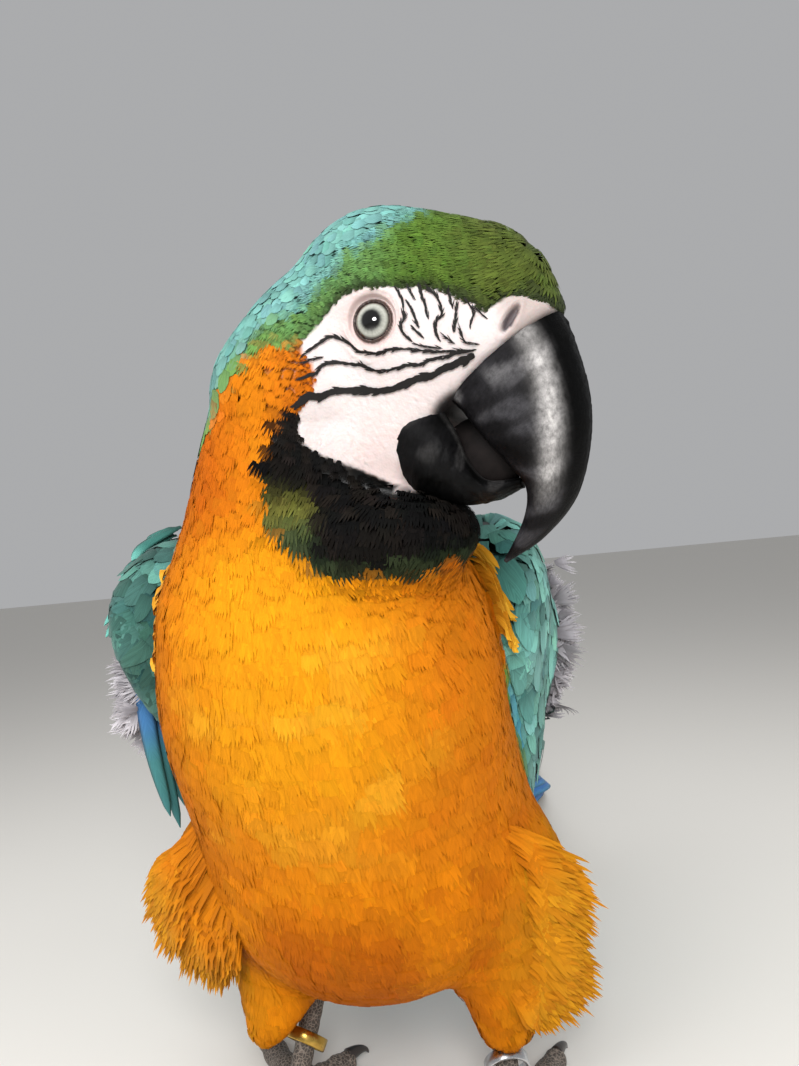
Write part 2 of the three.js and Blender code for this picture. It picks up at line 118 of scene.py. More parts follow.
# ---------- frames: forward, left and up from an origin ----------
class Frame:
    """A place with forward, left and up; yaw turns forward from -Y towards +X, lean rolls it outwards."""

    def __init__(self, origin, yaw, lean=0.0):
        yaw, lean = math.radians(yaw), math.radians(lean)
        forward = np.array([math.sin(yaw), -math.cos(yaw), 0.0])
        up = np.array([0.0, 0.0, 1.0])
        left = np.cross(up, forward)
        c, s = math.cos(lean), math.sin(lean)
        self.axes = np.array([forward, left * c + up * s, up * c - left * s])
        self.origin = np.asarray(origin, float)

    def at(self, x, y, z):
        return self.origin + np.array([x, y, z], float) @ self.axes

    def way(self, x, y, z):
        return np.array([x, y, z], float) @ self.axes

    def local(self, p):
        return (p - self.origin) @ self.axes.T

    def world(self, q):
        return self.origin + q @ self.axes


def middle_of(node):
    low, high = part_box(node)
    return (np.array(low) + np.array(high)) / 2 / MM


EYE_MIDDLE = (middle_of("eye_left") + middle_of("eye_right")) / 2
SHIFT = EYE_MIDDLE - (22, -67.6, 282)  # from the bird's own drawing frame to the part's frame
TRUNK_YAW, HEAD_YAW = -13, 68
TRUNK = Frame(SHIFT, TRUNK_YAW)
HEAD = Frame(EYE_MIDDLE, HEAD_YAW)
FOOT = {"left": Frame(SHIFT + (38, -33, 0), 2), "right": Frame(SHIFT + (-43, -5, 0), -6)}
WING = {
    "left": Frame(SHIFT + (59, 40, 152), TRUNK_YAW + 9, -3),
    "right": Frame(SHIFT + (-67, 46, 153), TRUNK_YAW - 12, 5),
}
SIDES = (("left", 1), ("right", -1))


# ---------- the form of the body: signed distances in millimetres, negative inside ----------
def ellipsoid(place, centre, radii, pitch=0.0):
    a = math.radians(pitch)
    c, s = math.cos(a), math.sin(a)
    turn = np.array([[c, 0, s], [0, 1, 0], [-s, 0, c]])
    radii, centre = np.array(radii, float), np.array(centre, float)

    def field(p):
        q = (place.local(p) - centre) @ turn
        far = np.linalg.norm(q / radii, axis=-1)
        slope = np.linalg.norm(q / radii ** 2, axis=-1)
        return far * (far - 1) / np.maximum(slope, 1e-9)

    return field


def round_cone(a, b, radius_a, radius_b):
    along = b - a

    def field(p):
        share = np.clip((p - a) @ along / (along @ along), 0, 1)
        nearest = a + share[..., None] * along
        return np.linalg.norm(p - nearest, axis=-1) - (radius_a + (radius_b - radius_a) * share)

    return field


def blend(radius, *fields):
    def field(p):
        total = fields[0](p)
        for other in fields[1:]:
            d = other(p)
            h = np.maximum(radius - np.abs(total - d), 0) / radius
            total = np.minimum(total, d) - h * h * radius / 4
        return total

    return field


def behind(point, normal, field, ease=3.0):
    """A form cut off by a plane, with its edge rounded."""
    n = unit(np.asarray(normal))

    def cut(p):
        a, b = field(p), (p - point) @ n
        h = np.maximum(ease - np.abs(a - b), 0) / ease
        return np.maximum(a, b) + h * h * ease / 4

    return cut


BILL_ROOT = (HEAD.at(34.2, 0, -14.3), HEAD.way(0.57, 0, -0.82))  # plane where the upper bill leaves the skin
CHIN_ROOT = (HEAD.at(5, 0, -39.4), HEAD.way(0.88, 0, -0.47))  # plane where the lower bill leaves it
face_form = blend(
    11,
    ellipsoid(HEAD, (-5, 0, 11), (30, 24, 29.3)),  # crown
    ellipsoid(HEAD, (16, 0, 5.5), (33.5, 19, 26)),  # forehead
    ellipsoid(HEAD, (7, 0, -14), (28, 20.5, 25)),  # cheeks
    ellipsoid(HEAD, (36, 0, -8), (17, 14, 12)),  # cere
)
throat_form = blend(
    8,
    behind(*CHIN_ROOT, ellipsoid(HEAD, (-6, 0, -34), (24, 18.5, 22))),  # chin
    ellipsoid(HEAD, (-14, 0, -63), (33, 30, 17.5)),  # bib
)
nape_form = round_cone(HEAD.at(-36, 0, -15), TRUNK.at(32, -9, 205), 30.5, 52.5)
body_form = blend(
    24,
    ellipsoid(TRUNK, (30, -8, 162), (50, 63, 60)),  # chest
    ellipsoid(TRUNK, (8, -6, 106), (54, 65, 62)),  # belly
    ellipsoid(TRUNK, (-22, -6, 145), (50, 55, 84), 28),  # mantle
    ellipsoid(TRUNK, (-74, 0, 92), (52, 40, 28), -24),  # rump
    round_cone(TRUNK.at(-96, 0, 70), TRUNK.at(-185, 0, 38), 26, 9),  # tail coverts
)
legs_form = blend(
    14,
    behind(FOOT["left"].at(0, 0, 28.5), (0, 0, -1),
           round_cone(TRUNK.at(4, 38, 88), FOOT["left"].at(-11, 1, 34), 31, 10.2)),
    behind(TRUNK.at(28, -33, 38), (0.57, 0, -0.82),
           round_cone(TRUNK.at(0, -44, 88), FOOT["right"].at(2, -5, 37), 31, 13)),
    round_cone(TRUNK.at(-8, 45, 68), TRUNK.at(-12, 60, 42), 20, 11),
    round_cone(TRUNK.at(12, -60, 92), TRUNK.at(10, -80, 70), 26, 12),
)


def wing_form(side, out):
    place = WING[side]
    return blend(
        14,
        ellipsoid(place, (-28, 0, -8), (106, 16, 43), -33),  # the shield of coverts
        ellipsoid(place, (18, -9 * out, 38), (42, 23, 32), -30),  # shoulder
        ellipsoid(place, (6, -3 * out, -24), (32, 13, 42), -10),  # the lower fore edge
        ellipsoid(place, (-50, -18 * out, 8), (60, 24, 24), -36),  # scapulars
        ellipsoid(place, (8, 12 * out, 16), (9, 7, 15)),  # where the down grows
    )


occiput_form = ellipsoid(HEAD, (-30, 0, 4), (18, 23, 19))
head_form = blend(10, behind(*BILL_ROOT, face_form), throat_form, nape_form, occiput_form)
trunk_form = blend(9, blend(25, head_form, body_form), legs_form)
wing_forms = {side: wing_form(side, out) for side, out in SIDES}
whole_form = blend(8, trunk_form, wing_forms["left"], wing_forms["right"])


class Grid:
    """A field kept on a regular grid, for quick values and slopes at many points."""

    def __init__(self, field, low, high, cell):
        self.low, self.cell = np.array(low, float), cell
        self.count = np.ceil((np.array(high) - self.low) / cell).astype(int) + 1
        lines = [self.low[k] + cell * np.arange(self.count[k]) for k in range(3)]
        points = np.stack(np.meshgrid(*lines, indexing="ij"), -1).reshape(-1, 3)
        values = np.concatenate([field(part) for part in np.array_split(points, 40)])
        self.values = values.reshape(self.count).astype(np.float32)
        slopes = np.gradient(self.values, cell)
        self.table = np.stack([self.values, *slopes], -1).reshape(-1, 4)

    def look(self, p):
        """Value and slope of the field at points, mixed from the eight nearest places of the grid."""
        x = np.clip((p - self.low) / self.cell, 0, self.count - 1.001)
        i = x.astype(int)
        f = (x - i).astype(np.float32)
        start = (i[:, 0] * self.count[1] + i[:, 1]) * self.count[2] + i[:, 2]
        total = np.zeros((len(p), 4), np.float32)
        for a in (0, 1):
            for b in (0, 1):
                for c in (0, 1):
                    near = np.where((a, b, c), f, 1 - f)
                    share = near[:, 0] * near[:, 1] * near[:, 2]
                    total += self.table[start + (a * self.count[1] + b) * self.count[2] + c] * share[:, None]
        return total[:, 0], total[:, 1:]

    def normal(self, p):
        return unit(self.look(p)[1])

    def drawn(self, p, level, turns=2):
        """Points moved along the slope to a level of the field, by at most a few millimetres each turn."""
        for _ in range(turns):
            value, slope = self.look(p)
            size = np.maximum((slope ** 2).sum(-1), 0.25)
            p = p + slope * np.clip((level - value) / size, -6, 6)[:, None]
        return p


def drawn_exactly(field, p, level, turns=3):
    """Points moved onto a level of a field, with slopes taken from the field itself."""
    for _ in range(turns):
        d = field(p)
        slope = np.stack([(field(p + axis) - d) / 0.2 for axis in np.eye(3) * 0.2], -1)
        size = np.maximum((slope ** 2).sum(-1), 0.25)
        p = p + slope * np.clip((level(p) - d) / size, -4, 4)[:, None]
    return p


def surface_net(grid, levels):
    """Closed mesh at a level of the field: a point in each crossed cell, a quad at each crossed edge."""
    value = grid.values - levels
    value[[0, -1]] = value[:, [0, -1]] = value[:, :, [0, -1]] = grid.cell
    inside = value < 0
    cells = tuple(n - 1 for n in value.shape)

    def corner(table, step):
        return table[step[0]:step[0] + cells[0], step[1]:step[1] + cells[1], step[2]:step[2] + cells[2]]

    total = np.zeros(cells + (3,), np.float32)
    crossings = np.zeros(cells, np.float32)
    steps = [np.array([n & 1, n >> 1 & 1, n >> 2]) for n in range(8)]
    for n, start in enumerate(steps):
        for axis in range(3):
            if start[axis]:
                continue
            end = start + np.eye(3, dtype=int)[axis]
            a, b = corner(value, start), corner(value, end)
            crossed = (a < 0) != (b < 0)
            share = np.where(crossed, a / np.where(crossed, a - b, 1), 0)
            for k in range(3):
                total[..., k] += np.where(crossed, start[k] + share * (k == axis), 0)
            crossings += crossed
    used = crossings > 0
    index = np.full(cells, -1)
    index[used] = np.arange(used.sum())
    places = np.argwhere(used) + total[used] / crossings[used][:, None]
    quads = []
    for axis in range(3):
        u, v = np.eye(3, dtype=int)[(axis + 1) % 3], np.eye(3, dtype=int)[(axis + 2) % 3]
        ahead = np.roll(inside, -1, axis)
        at = np.argwhere((inside != ahead))
        at = at[(at[:, axis] < value.shape[axis] - 1) & (at.min(1) > 0)]
        outward = inside[tuple(at.T)]
        ring = [index[tuple((at - m * u - n * v).T)] for m, n in ((0, 0), (1, 0), (1, 1), (0, 1))]
        quad = np.stack(ring, -1)
        quad[~outward] = quad[~outward][:, ::-1]
        quads.append(quad)
    return grid.low + places * grid.cell, np.concatenate(quads)


def placed(name, data):
    """A new object of the scene for a mesh, lamp or camera."""
    made = bpy.data.objects.new(name, data)
    bpy.context.scene.collection.objects.link(made)
    return made


def to_mesh(name, points, faces):
    """New mesh object from points in millimetres and rows of corner numbers; it sits at the origin."""
    mesh = bpy.data.meshes.new(name)
    mesh.vertices.add(len(points))
    put_points(mesh, np.asarray(points, np.float32))
    groups = faces if isinstance(faces, (list, tuple)) else [faces]
    groups = [np.asarray(g, np.int32) for g in groups if len(g)]
    corners = np.concatenate([g.ravel() for g in groups])
    sizes = np.concatenate([np.full(len(g), g.shape[1], np.int32) for g in groups])
    mesh.loops.add(len(corners))
    mesh.loops.foreach_set("vertex_index", corners)
    mesh.polygons.add(len(sizes))
    mesh.polygons.foreach_set("loop_start", np.concatenate([[0], np.cumsum(sizes)[:-1]]).astype(np.int32))
    mesh.update(calc_edges=True)
    shade_smooth(mesh)
    return placed(name, mesh)


def put_points(mesh, points):
    """Moves the points of a mesh to places in millimetres."""
    mesh.vertices.foreach_set("co", (points * MM).astype(np.float32).ravel())


def shade_smooth(mesh):
    mesh.polygons.foreach_set("use_smooth", np.ones(len(mesh.polygons), bool))


def woven(rows, around):
    """Quads of a tube, from rows with the same count of points round it."""
    i, j = np.meshgrid(np.arange(rows - 1), np.arange(around), indexing="ij")
    here, there, ahead = i * around, (i + 1) * around, (j + 1) % around
    return np.stack([here + j, here + ahead, there + ahead, there + j], -1).reshape(-1, 4)


def swept(rings):
    """Closed tube through rings with the same count of points; returns points, quads and end caps."""
    rings = np.asarray(rings)
    n, m = rings.shape[:2]
    points = np.vstack([rings.reshape(-1, 3), rings[0].mean(0), rings[-1].mean(0)])
    j = np.arange(m)
    ahead, last = (j + 1) % m, (n - 1) * m
    near = np.stack([np.full(m, n * m), ahead, j], -1)
    far = np.stack([np.full(m, n * m + 1), last + j, last + ahead], -1)
    return points, woven(n, m), np.concatenate([near, far])


def turned_outward(piece):
    """Points the faces of a closed piece outwards."""
    shape = bmesh.new()
    shape.from_mesh(piece.data)
    bmesh.ops.recalc_face_normals(shape, faces=shape.faces)
    shape.to_mesh(piece.data)
    shape.free()
    return piece


def tube(name, rings):
    points, *faces = swept(rings)
    return turned_outward(to_mesh(name, points, faces))


def circle(count):
    """Angles of evenly spaced points all the way round."""
    return np.linspace(0, 2 * math.pi, count, endpoint=False)


def ring_about(centre, a, b, radius_a, radius_b, turn):
    """Points round a centre at the given angles, in the plane of two ways."""
    return centre + (np.cos(turn) * radius_a)[:, None] * a + (np.sin(turn) * radius_b)[:, None] * b


def above(points, height):
    """Points that reach no lower than a height over the floor."""
    return np.maximum(points, (-1e9, -1e9, height))


def points_of(mesh):
    co = np.empty(len(mesh.vertices) * 3, np.float32)
    mesh.vertices.foreach_get("co", co)
    return co.reshape(-1, 3).astype(float) / MM


def corners_of(mesh):
    ids = np.empty(len(mesh.loops), np.int32)
    mesh.loops.foreach_get("vertex_index", ids)
    return ids


def paint(piece, colours, name="plumage"):
    """Keeps a linear colour for each point of a piece, which its material reads by name."""
    layer = piece.data.color_attributes.new(name, "FLOAT_COLOR", "POINT")
    rgba = np.ones((len(piece.data.vertices), 4), np.float32)
    rgba[:, :3] = np.clip(colours, 0, 1)
    layer.data.foreach_set("color", rgba.ravel())


def lay_map(piece, name, uv):
    """Keeps a UV place for each point of a piece, under the given name."""
    layer = piece.data.uv_layers.new(name=name)
    layer.data.foreach_set("uv", np.asarray(uv, np.float32)[corners_of(piece.data)].ravel())


def soften(piece, normals):
    """Gives each point of a piece the direction that it is shaded with."""
    piece.data.normals_split_custom_set_from_vertices(np.asarray(unit(normals), np.float32))


def finished(piece, slot, *materials, nodes=()):
    """Materials, CAD body and the nodes that the piece stands for; the slot is not used."""
    piece.data.materials.clear()
    for material in materials:
        piece.data.materials.append(material)
    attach(piece, "root")
    if nodes:
        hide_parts(*nodes)
    return piece


# ---------- colours and sizes ----------
def chosen(name):
    """A colour picked in the panel, as linear red, green and blue."""
    return np.array(getattr(bpy.context.scene.macaw_look, name), float)


def chosen_size(name):
    """A size picked in the panel, in millimetres."""
    return getattr(bpy.context.scene.macaw_look, name) / MM


def linear(code):
    """Linear red, green and blue of an sRGB hex colour."""
    srgb = np.array([int(code[i:i + 2], 16) / 255 for i in (1, 3, 5)])
    return np.where(srgb <= 0.04045, srgb / 12.92, ((srgb + 0.055) / 1.055) ** 2.4)


def rgba(code):
    return (*linear(code), 1.0)


# ---------- the markings, in the head's side view (forward, up) and round the trunk ----------
FACE_EDGE = [
    (60, -3), (50, -2.4), (48, -0.8), (45, 0.2), (42, 1.2), (39, 1.2), (36, -0.6), (33, -1.8), (30.5, 0),
    (26, 2.6), (21, 5.4), (16, 7), (9, 8), (2.4, 9), (-3.4, 9.4), (-8, 8.3), (-12, 6), (-17, 1.6),
    (-22, -3.2), (-21, -7.5), (-19.4, -10), (-18.6, -15), (-19.6, -18), (-22.5, -21.5), (-24.8, -25),
    (-25.6, -29), (-25.2, -32), (-22.4, -35), (-17, -38.4), (-9, -42.6), (-2, -46.4), (0.5, -48.4), (5, -50),
    (9, -46), (60, -40),
]
BIB_EDGE = [
    (-18, -24), (-23, -21.5), (-29, -22.8), (-34.6, -30.7), (-38.8, -39.2), (-39, -48.3), (-37.6, -56.5),
    (-33, -65.5), (-25.5, -72), (-14, -76), (-0.4, -75.5), (8.9, -74.5), (17, -72.5), (30, -69), (60, -58),
    (60, -30), (6, -40), (-10, -34),
]
ORANGE_EDGE = [(-10, 5), (-17, -2.8), (-23, -3.6), (-33, -2.5), (-43, -10), (-58, -22), (-95, -50)]
TURQUOISE_EDGE = [(20, 40), (12.7, 31.4), (2.7, 22.7), (-8.3, 19.1), (-15, 12.6), (-23, 5), (-34, 3),
                  (-45, -5.5), (-60, -18), (-95, -45)]


def near_line(q, line):
    """Distance to a run of straight spans, and the side of the nearest one each place lies on (left is +)."""
    line = np.asarray(line, float)
    best = np.full(len(q), 1e9)
    side = np.ones(len(q))
    for a, b in zip(line[:-1], line[1:]):
        along = b - a
        share = np.clip((q - a) @ along / (along @ along), 0, 1)
        gap = q - (a + share[:, None] * along)
        d = np.hypot(gap[:, 0], gap[:, 1])
        turn = along[0] * (q[:, 1] - a[1]) - along[1] * (q[:, 0] - a[0])
        closer = d < best - 1e-6
        best = np.where(closer, d, best)
        side = np.where(closer, np.sign(turn), side)
    return best, side


def outside(q, edge):
    """Signed distance to a closed outline in the plane, negative inside."""
    edge = np.asarray(edge, float)
    d, _ = near_line(q, np.vstack([edge, edge[:1]]))
    inside = np.zeros(len(q), bool)
    for a, b in zip(edge, np.roll(edge, -1, 0)):
        crosses = (a[1] > q[:, 1]) != (b[1] > q[:, 1])
        at = a[0] + (q[:, 1] - a[1]) * (b[0] - a[0]) / (b[1] - a[1] if b[1] != a[1] else 1e-9)
        inside ^= crosses & (q[:, 0] < at)
    return np.where(inside, -d, d)


def off_face(p):
    """Distance outside the bare face, negative on it, in the head's side view."""
    q = HEAD.local(p)
    return np.where((q[:, 2] > -58) & (q[:, 0] > -34), outside(q[:, [0, 2]], FACE_EDGE), 30.0)


def on_wing(p):
    """1 on the wings' own feathers and 0 on the trunk."""
    d = np.minimum(wing_forms["left"](p), wing_forms["right"](p))
    return smooth(3.5, 0.5, d - np.maximum(trunk_form(p), 0) * 0.4) * smooth(-6, 0, trunk_form(p) - 1.5)


def trunk_round(p):
    """Angle round the trunk from its front in degrees, and its height, in the trunk's frame."""
    q = TRUNK.local(p)
    middle = 22 - 0.16 * np.clip(200 - q[:, 2], 0, 150)
    return np.degrees(np.arctan2(np.abs(q[:, 1] + 6), q[:, 0] - middle)), q[:, 2]


def turquoise_side(p):
    """Millimetres behind or above the edge between orange and turquoise; the green band lies round zero."""
    q = HEAD.local(p)
    d, side = near_line(q[:, [0, 2]], ORANGE_EDGE)
    by_head = -d * side
    angle, height = trunk_round(p)
    limit = np.interp(height, [60, 110, 150, 215], [118, 104, 84, 72])
    limit = limit + (TRUNK.local(p)[:, 1] > -6) * np.interp(height, [90, 150, 175, 225], [0, 12, 29, 24])
    by_trunk = (angle - limit) * 0.95
    return by_head + (by_trunk - by_head) * smooth(250, 205, height)


CROWN_FRONT, CROWN_REAR = linear("#4a5622"), linear("#5a7f46")
TURQUOISE_DEEP, GREEN_BAND, LIME = linear("#3f8fa6"), linear("#638a45"), linear("#7f9a3a")
ORANGE_TOP, ORANGE_SIDE, ORANGE_BELLY = linear("#d67a0f"), linear("#c9700c"), linear("#dc8208")
ORANGE_NECK = linear("#c0600c")
RUST, THIGH_FRONT = linear("#ad5604"), linear("#ec930f")
OLIVE, BIB_BROWN = linear("#66652c"), linear("#1a1613")
FLARE, PALE_PATCH = linear("#c98a14"), linear("#e2a024")
RUMP_BLUE, EDGE_DARK = linear("#4a93b5"), linear("#2c3320")


def markings(p):
    """Linear colour of the plumage at each place on the body."""
    q = HEAD.local(p)
    forward_up = q[:, [0, 2]]
    angle, height = trunk_round(p)
    rough = wobble(p, 9, 1)
    fine = wobble(p, 3.2, 2)
    behind_by = turquoise_side(p) + 2.2 * rough + 1.2 * fine
    # orange of the neck, breast and belly
    colour = mixed(ORANGE_SIDE, ORANGE_TOP, smooth(66, 20, angle) * smooth(140, 190, height))
    colour = mixed(colour, chosen("breast"), smooth(50, 10, angle) * smooth(105, 150, height) * 0.9)
    colour = mixed(colour, ORANGE_NECK, smooth(205, 236, height) * smooth(-30, 25, angle))
    belly = smooth(128, 92, height)
    colour = mixed(colour, mixed(ORANGE_BELLY, RUST, smooth(20, 75, angle) * 0.8 + 0.2 * rough), belly)
    colour = mixed(colour, RUST, smooth(110, 80, height) * smooth(44, 20, np.abs(angle)) * 0.9)
    in_front = smooth(55, 20, angle) * smooth(100, 135, height) * smooth(200, 176, height)
    colour = mixed(colour, PALE_PATCH, 0.6 * smooth(0.0, 0.9, wobble(p, 34, 3)) * in_front)
    thigh = smooth(5, -6, legs_form(p)) * smooth(100, 78, height)
    colour = mixed(colour, THIGH_FRONT, thigh * smooth(75, 20, angle) * 0.8)
    # green band, then turquoise
    colour = mixed(colour, CROWN_REAR, smooth(6, 10, q[:, 2]))
    beside = smooth(34, 60, np.abs(TRUNK.local(p)[:, 1]))
    flare = smooth(6, -4, legs_form(p)) * smooth(118, 92, height) * beside
    colour = mixed(colour, FLARE, flare * (0.75 + 0.25 * rough))
    lime = smooth(-4, -0.5, behind_by) * smooth(215, 170, height)
    colour = mixed(colour, LIME, lime * 0.4)
    colour = mixed(colour, GREEN_BAND, smooth(-1, 2.5, behind_by))
    turquoise = mixed(chosen("turquoise"), TURQUOISE_DEEP, smooth(196, 110, height))
    turquoise = mixed(turquoise, RUMP_BLUE, smooth(110, 70, height))
    d, side = near_line(forward_up, TURQUOISE_EDGE)
    by_trunk = smooth(3, 7, behind_by)
    by_head = smooth(2.5, -2.5, d * side + 1.8 * rough + 1.2 * fine)
    colour = mixed(colour, turquoise, by_head + (by_trunk - by_head) * smooth(250, 205, height))
    # crown
    crown = smooth(-3.5, 3.5, d * side + 1.5 * rough) * smooth(-40, -20, q[:, 0] + 8) * (q[:, 2] > -20)
    green = mixed(CROWN_REAR, chosen("crown"), smooth(-6, 14, q[:, 0] + 2 * rough))
    green = mixed(green, CROWN_FRONT, smooth(12, 34, q[:, 0] + 2 * rough))
    colour = mixed(colour, green, crown * smooth(-9, -1, q[:, 2] + 0.1 * q[:, 0]))
    off = off_face(p)
    rim = smooth(3.2, 0.6, off + 0.7 * fine) * (q[:, 2] > -4) * smooth(-20, -12, q[:, 0])
    colour = mixed(colour, EDGE_DARK, rim * 0.85)
    # wings
    wing = on_wing(p)
    teal = mixed(chosen("wing"), linear("#74b3a6"), smooth(-0.3, 0.9, rough))
    colour = mixed(colour, mixed(teal, linear("#4c93ac"), smooth(120, 70, height)), wing)
    # black bib with an olive edge
    bib = outside(forward_up, BIB_EDGE) + 1.6 * rough + 0.8 * fine
    low = smooth(-52, -64, q[:, 2])
    edge = smooth(-9 + 2 * low, -2, bib) * smooth(-40, -56, q[:, 2])
    dark = mixed(chosen("bib"), BIB_BROWN, smooth(-0.6, 0.8, rough + smooth(-40, -26, q[:, 2])))
    patch = smooth(1.3, 0.5, np.hypot((q[:, 0] + 33) / 11, (q[:, 2] + 60) / 12) + 0.15 * rough)
    dark = mixed(dark, mixed(OLIVE, linear("#39452c"), low), np.maximum(edge * 0.6, patch * 0.9))
    colour = mixed(colour, dark, smooth(1.0, -1.4, bib))
    return np.clip(colour, 0, 1)


def coat_depth(p):
    """How deep the skin lies under the outer form, in millimetres."""
    q = HEAD.local(p)
    off = off_face(p)
    down_neck = smooth(25, 95, np.linalg.norm(q + (10, 0, 6), axis=-1))
    depth = 1.5 + 2.3 * down_neck
    low = TRUNK.local(p)[:, 2]
    depth = depth * smooth(22, 60, low) + 1.4 * smooth(60, 22, low)
    return 0.25 + (depth - 0.25) * smooth(-0.3, 2.6, off)


def unwrapped(p, n):
    """Place of each point on the skin's own unwrap: six sheets, one for each way that the skin faces."""
    low, high = np.array(CAD_BOX[0]) / MM - 15, np.array(CAD_BOX[1]) / MM + 15
    size = high - low
    q = p - low
    way = np.argmax(np.abs(n), axis=-1)
    flip = np.take_along_axis(n, way[:, None], 1)[:, 0] < 0
    u = np.choose(way, [q[:, 1], size[1] + q[:, 0], size[1] + size[0] + q[:, 0]])
    v = np.choose(way, [q[:, 2], q[:, 2], q[:, 1]])
    u = u + np.where(flip & (way == 2), size[0], 0)
    v = v + np.where(flip & (way < 2), size[2], 0)
    return np.stack([u, v], -1) / (size[1] + 3 * size[0] + 6) + 0.001


# ---------- materials ----------
def node(tree, kind, links={}, **settings):
    """Adds a shader or geometry node; links holds values or sockets for its inputs by name or number."""
    made = tree.nodes.new(kind)
    for key, value in settings.items():
        setattr(made, key, value)
    for key, value in links.items():
        if isinstance(value, bpy.types.NodeSocket):
            tree.links.new(value, made.inputs[key])
        else:
            made.inputs[key].default_value = value
    return made


def material(name, **surface):
    """A new material with its Principled shader set by input names, spaces written as underscores."""
    made = bpy.data.materials.new(name)
    made.use_nodes = True
    tree = made.node_tree
    shader = tree.nodes["Principled BSDF"]
    for key, value in surface.items():
        shader.inputs[key.replace("_", " ")].default_value = value
    return made, tree, shader


def bumped(tree, shader, height, strength, distance):
    bump = node(tree, "ShaderNodeBump", {"Height": height, "Strength": strength, "Distance": distance})
    tree.links.new(bump.outputs["Normal"], shader.inputs["Normal"])


def coloured(tree, shader, colour):
    tree.links.new(colour, shader.inputs["Base Color"])


def painted(tree, layer):
    """The colour kept for each point under a name."""
    return node(tree, "ShaderNodeVertexColor", layer_name=layer).outputs[0]


def noise(tree, scale, where=None, **more):
    """Noise over the given places, or over the piece's own."""
    where = where or node(tree, "ShaderNodeTexCoord").outputs["Object"]
    return node(tree, "ShaderNodeTexNoise", {"Vector": where, "Scale": scale, **more}).outputs[0]


def maths(tree, operation, *values):
    return node(tree, "ShaderNodeMath", dict(enumerate(values)), operation=operation).outputs[0]


def ranged(tree, value, low, high, to_low, to_high):
    """A value from low to high, drawn out to another range."""
    return node(tree, "ShaderNodeMapRange", {0: value, 1: low, 2: high, 3: to_low, 4: to_high}).outputs[0]


def scaled(tree, vector, share):
    return node(tree, "ShaderNodeVectorMath", {0: vector, 3: share}, operation="SCALE").outputs[0]


def between(tree, share, dark, pale):
    """Colour between two tones, each a hex colour or a socket."""
    dark, pale = (rgba(tone) if isinstance(tone, str) else tone for tone in (dark, pale))
    return node(tree, "ShaderNodeMix", {0: share, 6: dark, 7: pale}, data_type="RGBA").outputs[2]


def plumage_material(name, streaks, depth, shade=0.18, roughness=0.75, sheen=0.12):
    """Feather keratin, soft and matt: painted markings, and fine barbs that darken and lift the surface."""
    made, tree, shader = material(
        name, Roughness=roughness, Sheen_Weight=sheen, Sheen_Roughness=0.5, Specular_IOR_Level=0.07)
    vane = node(tree, "ShaderNodeUVMap", uv_map="Vane").outputs[0]
    # barbs run out from the shaft at a slant: stripes over along - across
    split = node(tree, "ShaderNodeSeparateXYZ", {0: vane}).outputs
    away = maths(tree, "ABSOLUTE", split[0])
    stripes = maths(tree, "MULTIPLY", maths(tree, "MULTIPLY_ADD", away, -0.9, split[1]), streaks)
    spread = node(tree, "ShaderNodeCombineXYZ", {0: away, 1: stripes}).outputs[0]
    grain = noise(tree, 1.0, spread, Detail=2.0, Roughness=0.6)
    tone = ranged(tree, grain, 0.3, 0.7, 1 - shade, 1 + shade * 0.5)
    coloured(tree, shader, scaled(tree, painted(tree, "plumage"), tone))
    bumped(tree, shader, grain, 0.5, depth)
    return made


# ---------- skin ----------
BODY_LOW, BODY_HIGH = np.array(CAD_BOX[0]) / MM - 12, np.array(CAD_BOX[1]) / MM + 12
SKIN_CELL = 2.6  # mesh cell of the skin, in millimetres
EYE_RADIUS, EYE_OUT, LID_OPENING = 8.4, 15.6, 5.5
NOSTRIL = (38.9, -5.2)  # its middle, forward and up
SKIN_TONE, COAT_TONE = 0.88, 0.82  # shares of the markings' light on the skin and on the coat
BAKE_PATCH = (0.003, 0.0014)  # a tuft's patch on the bake's map, along and to each side
FLESH = ("head", "neck", "trunk", "thigh_left", "thigh_right", "wing_left", "wing_right")
made_so_far = {}


def eye_distance(q):
    """Distance from the line through the eyes, for places in the head's frame."""
    return np.hypot(q[:, 0], q[:, 2])


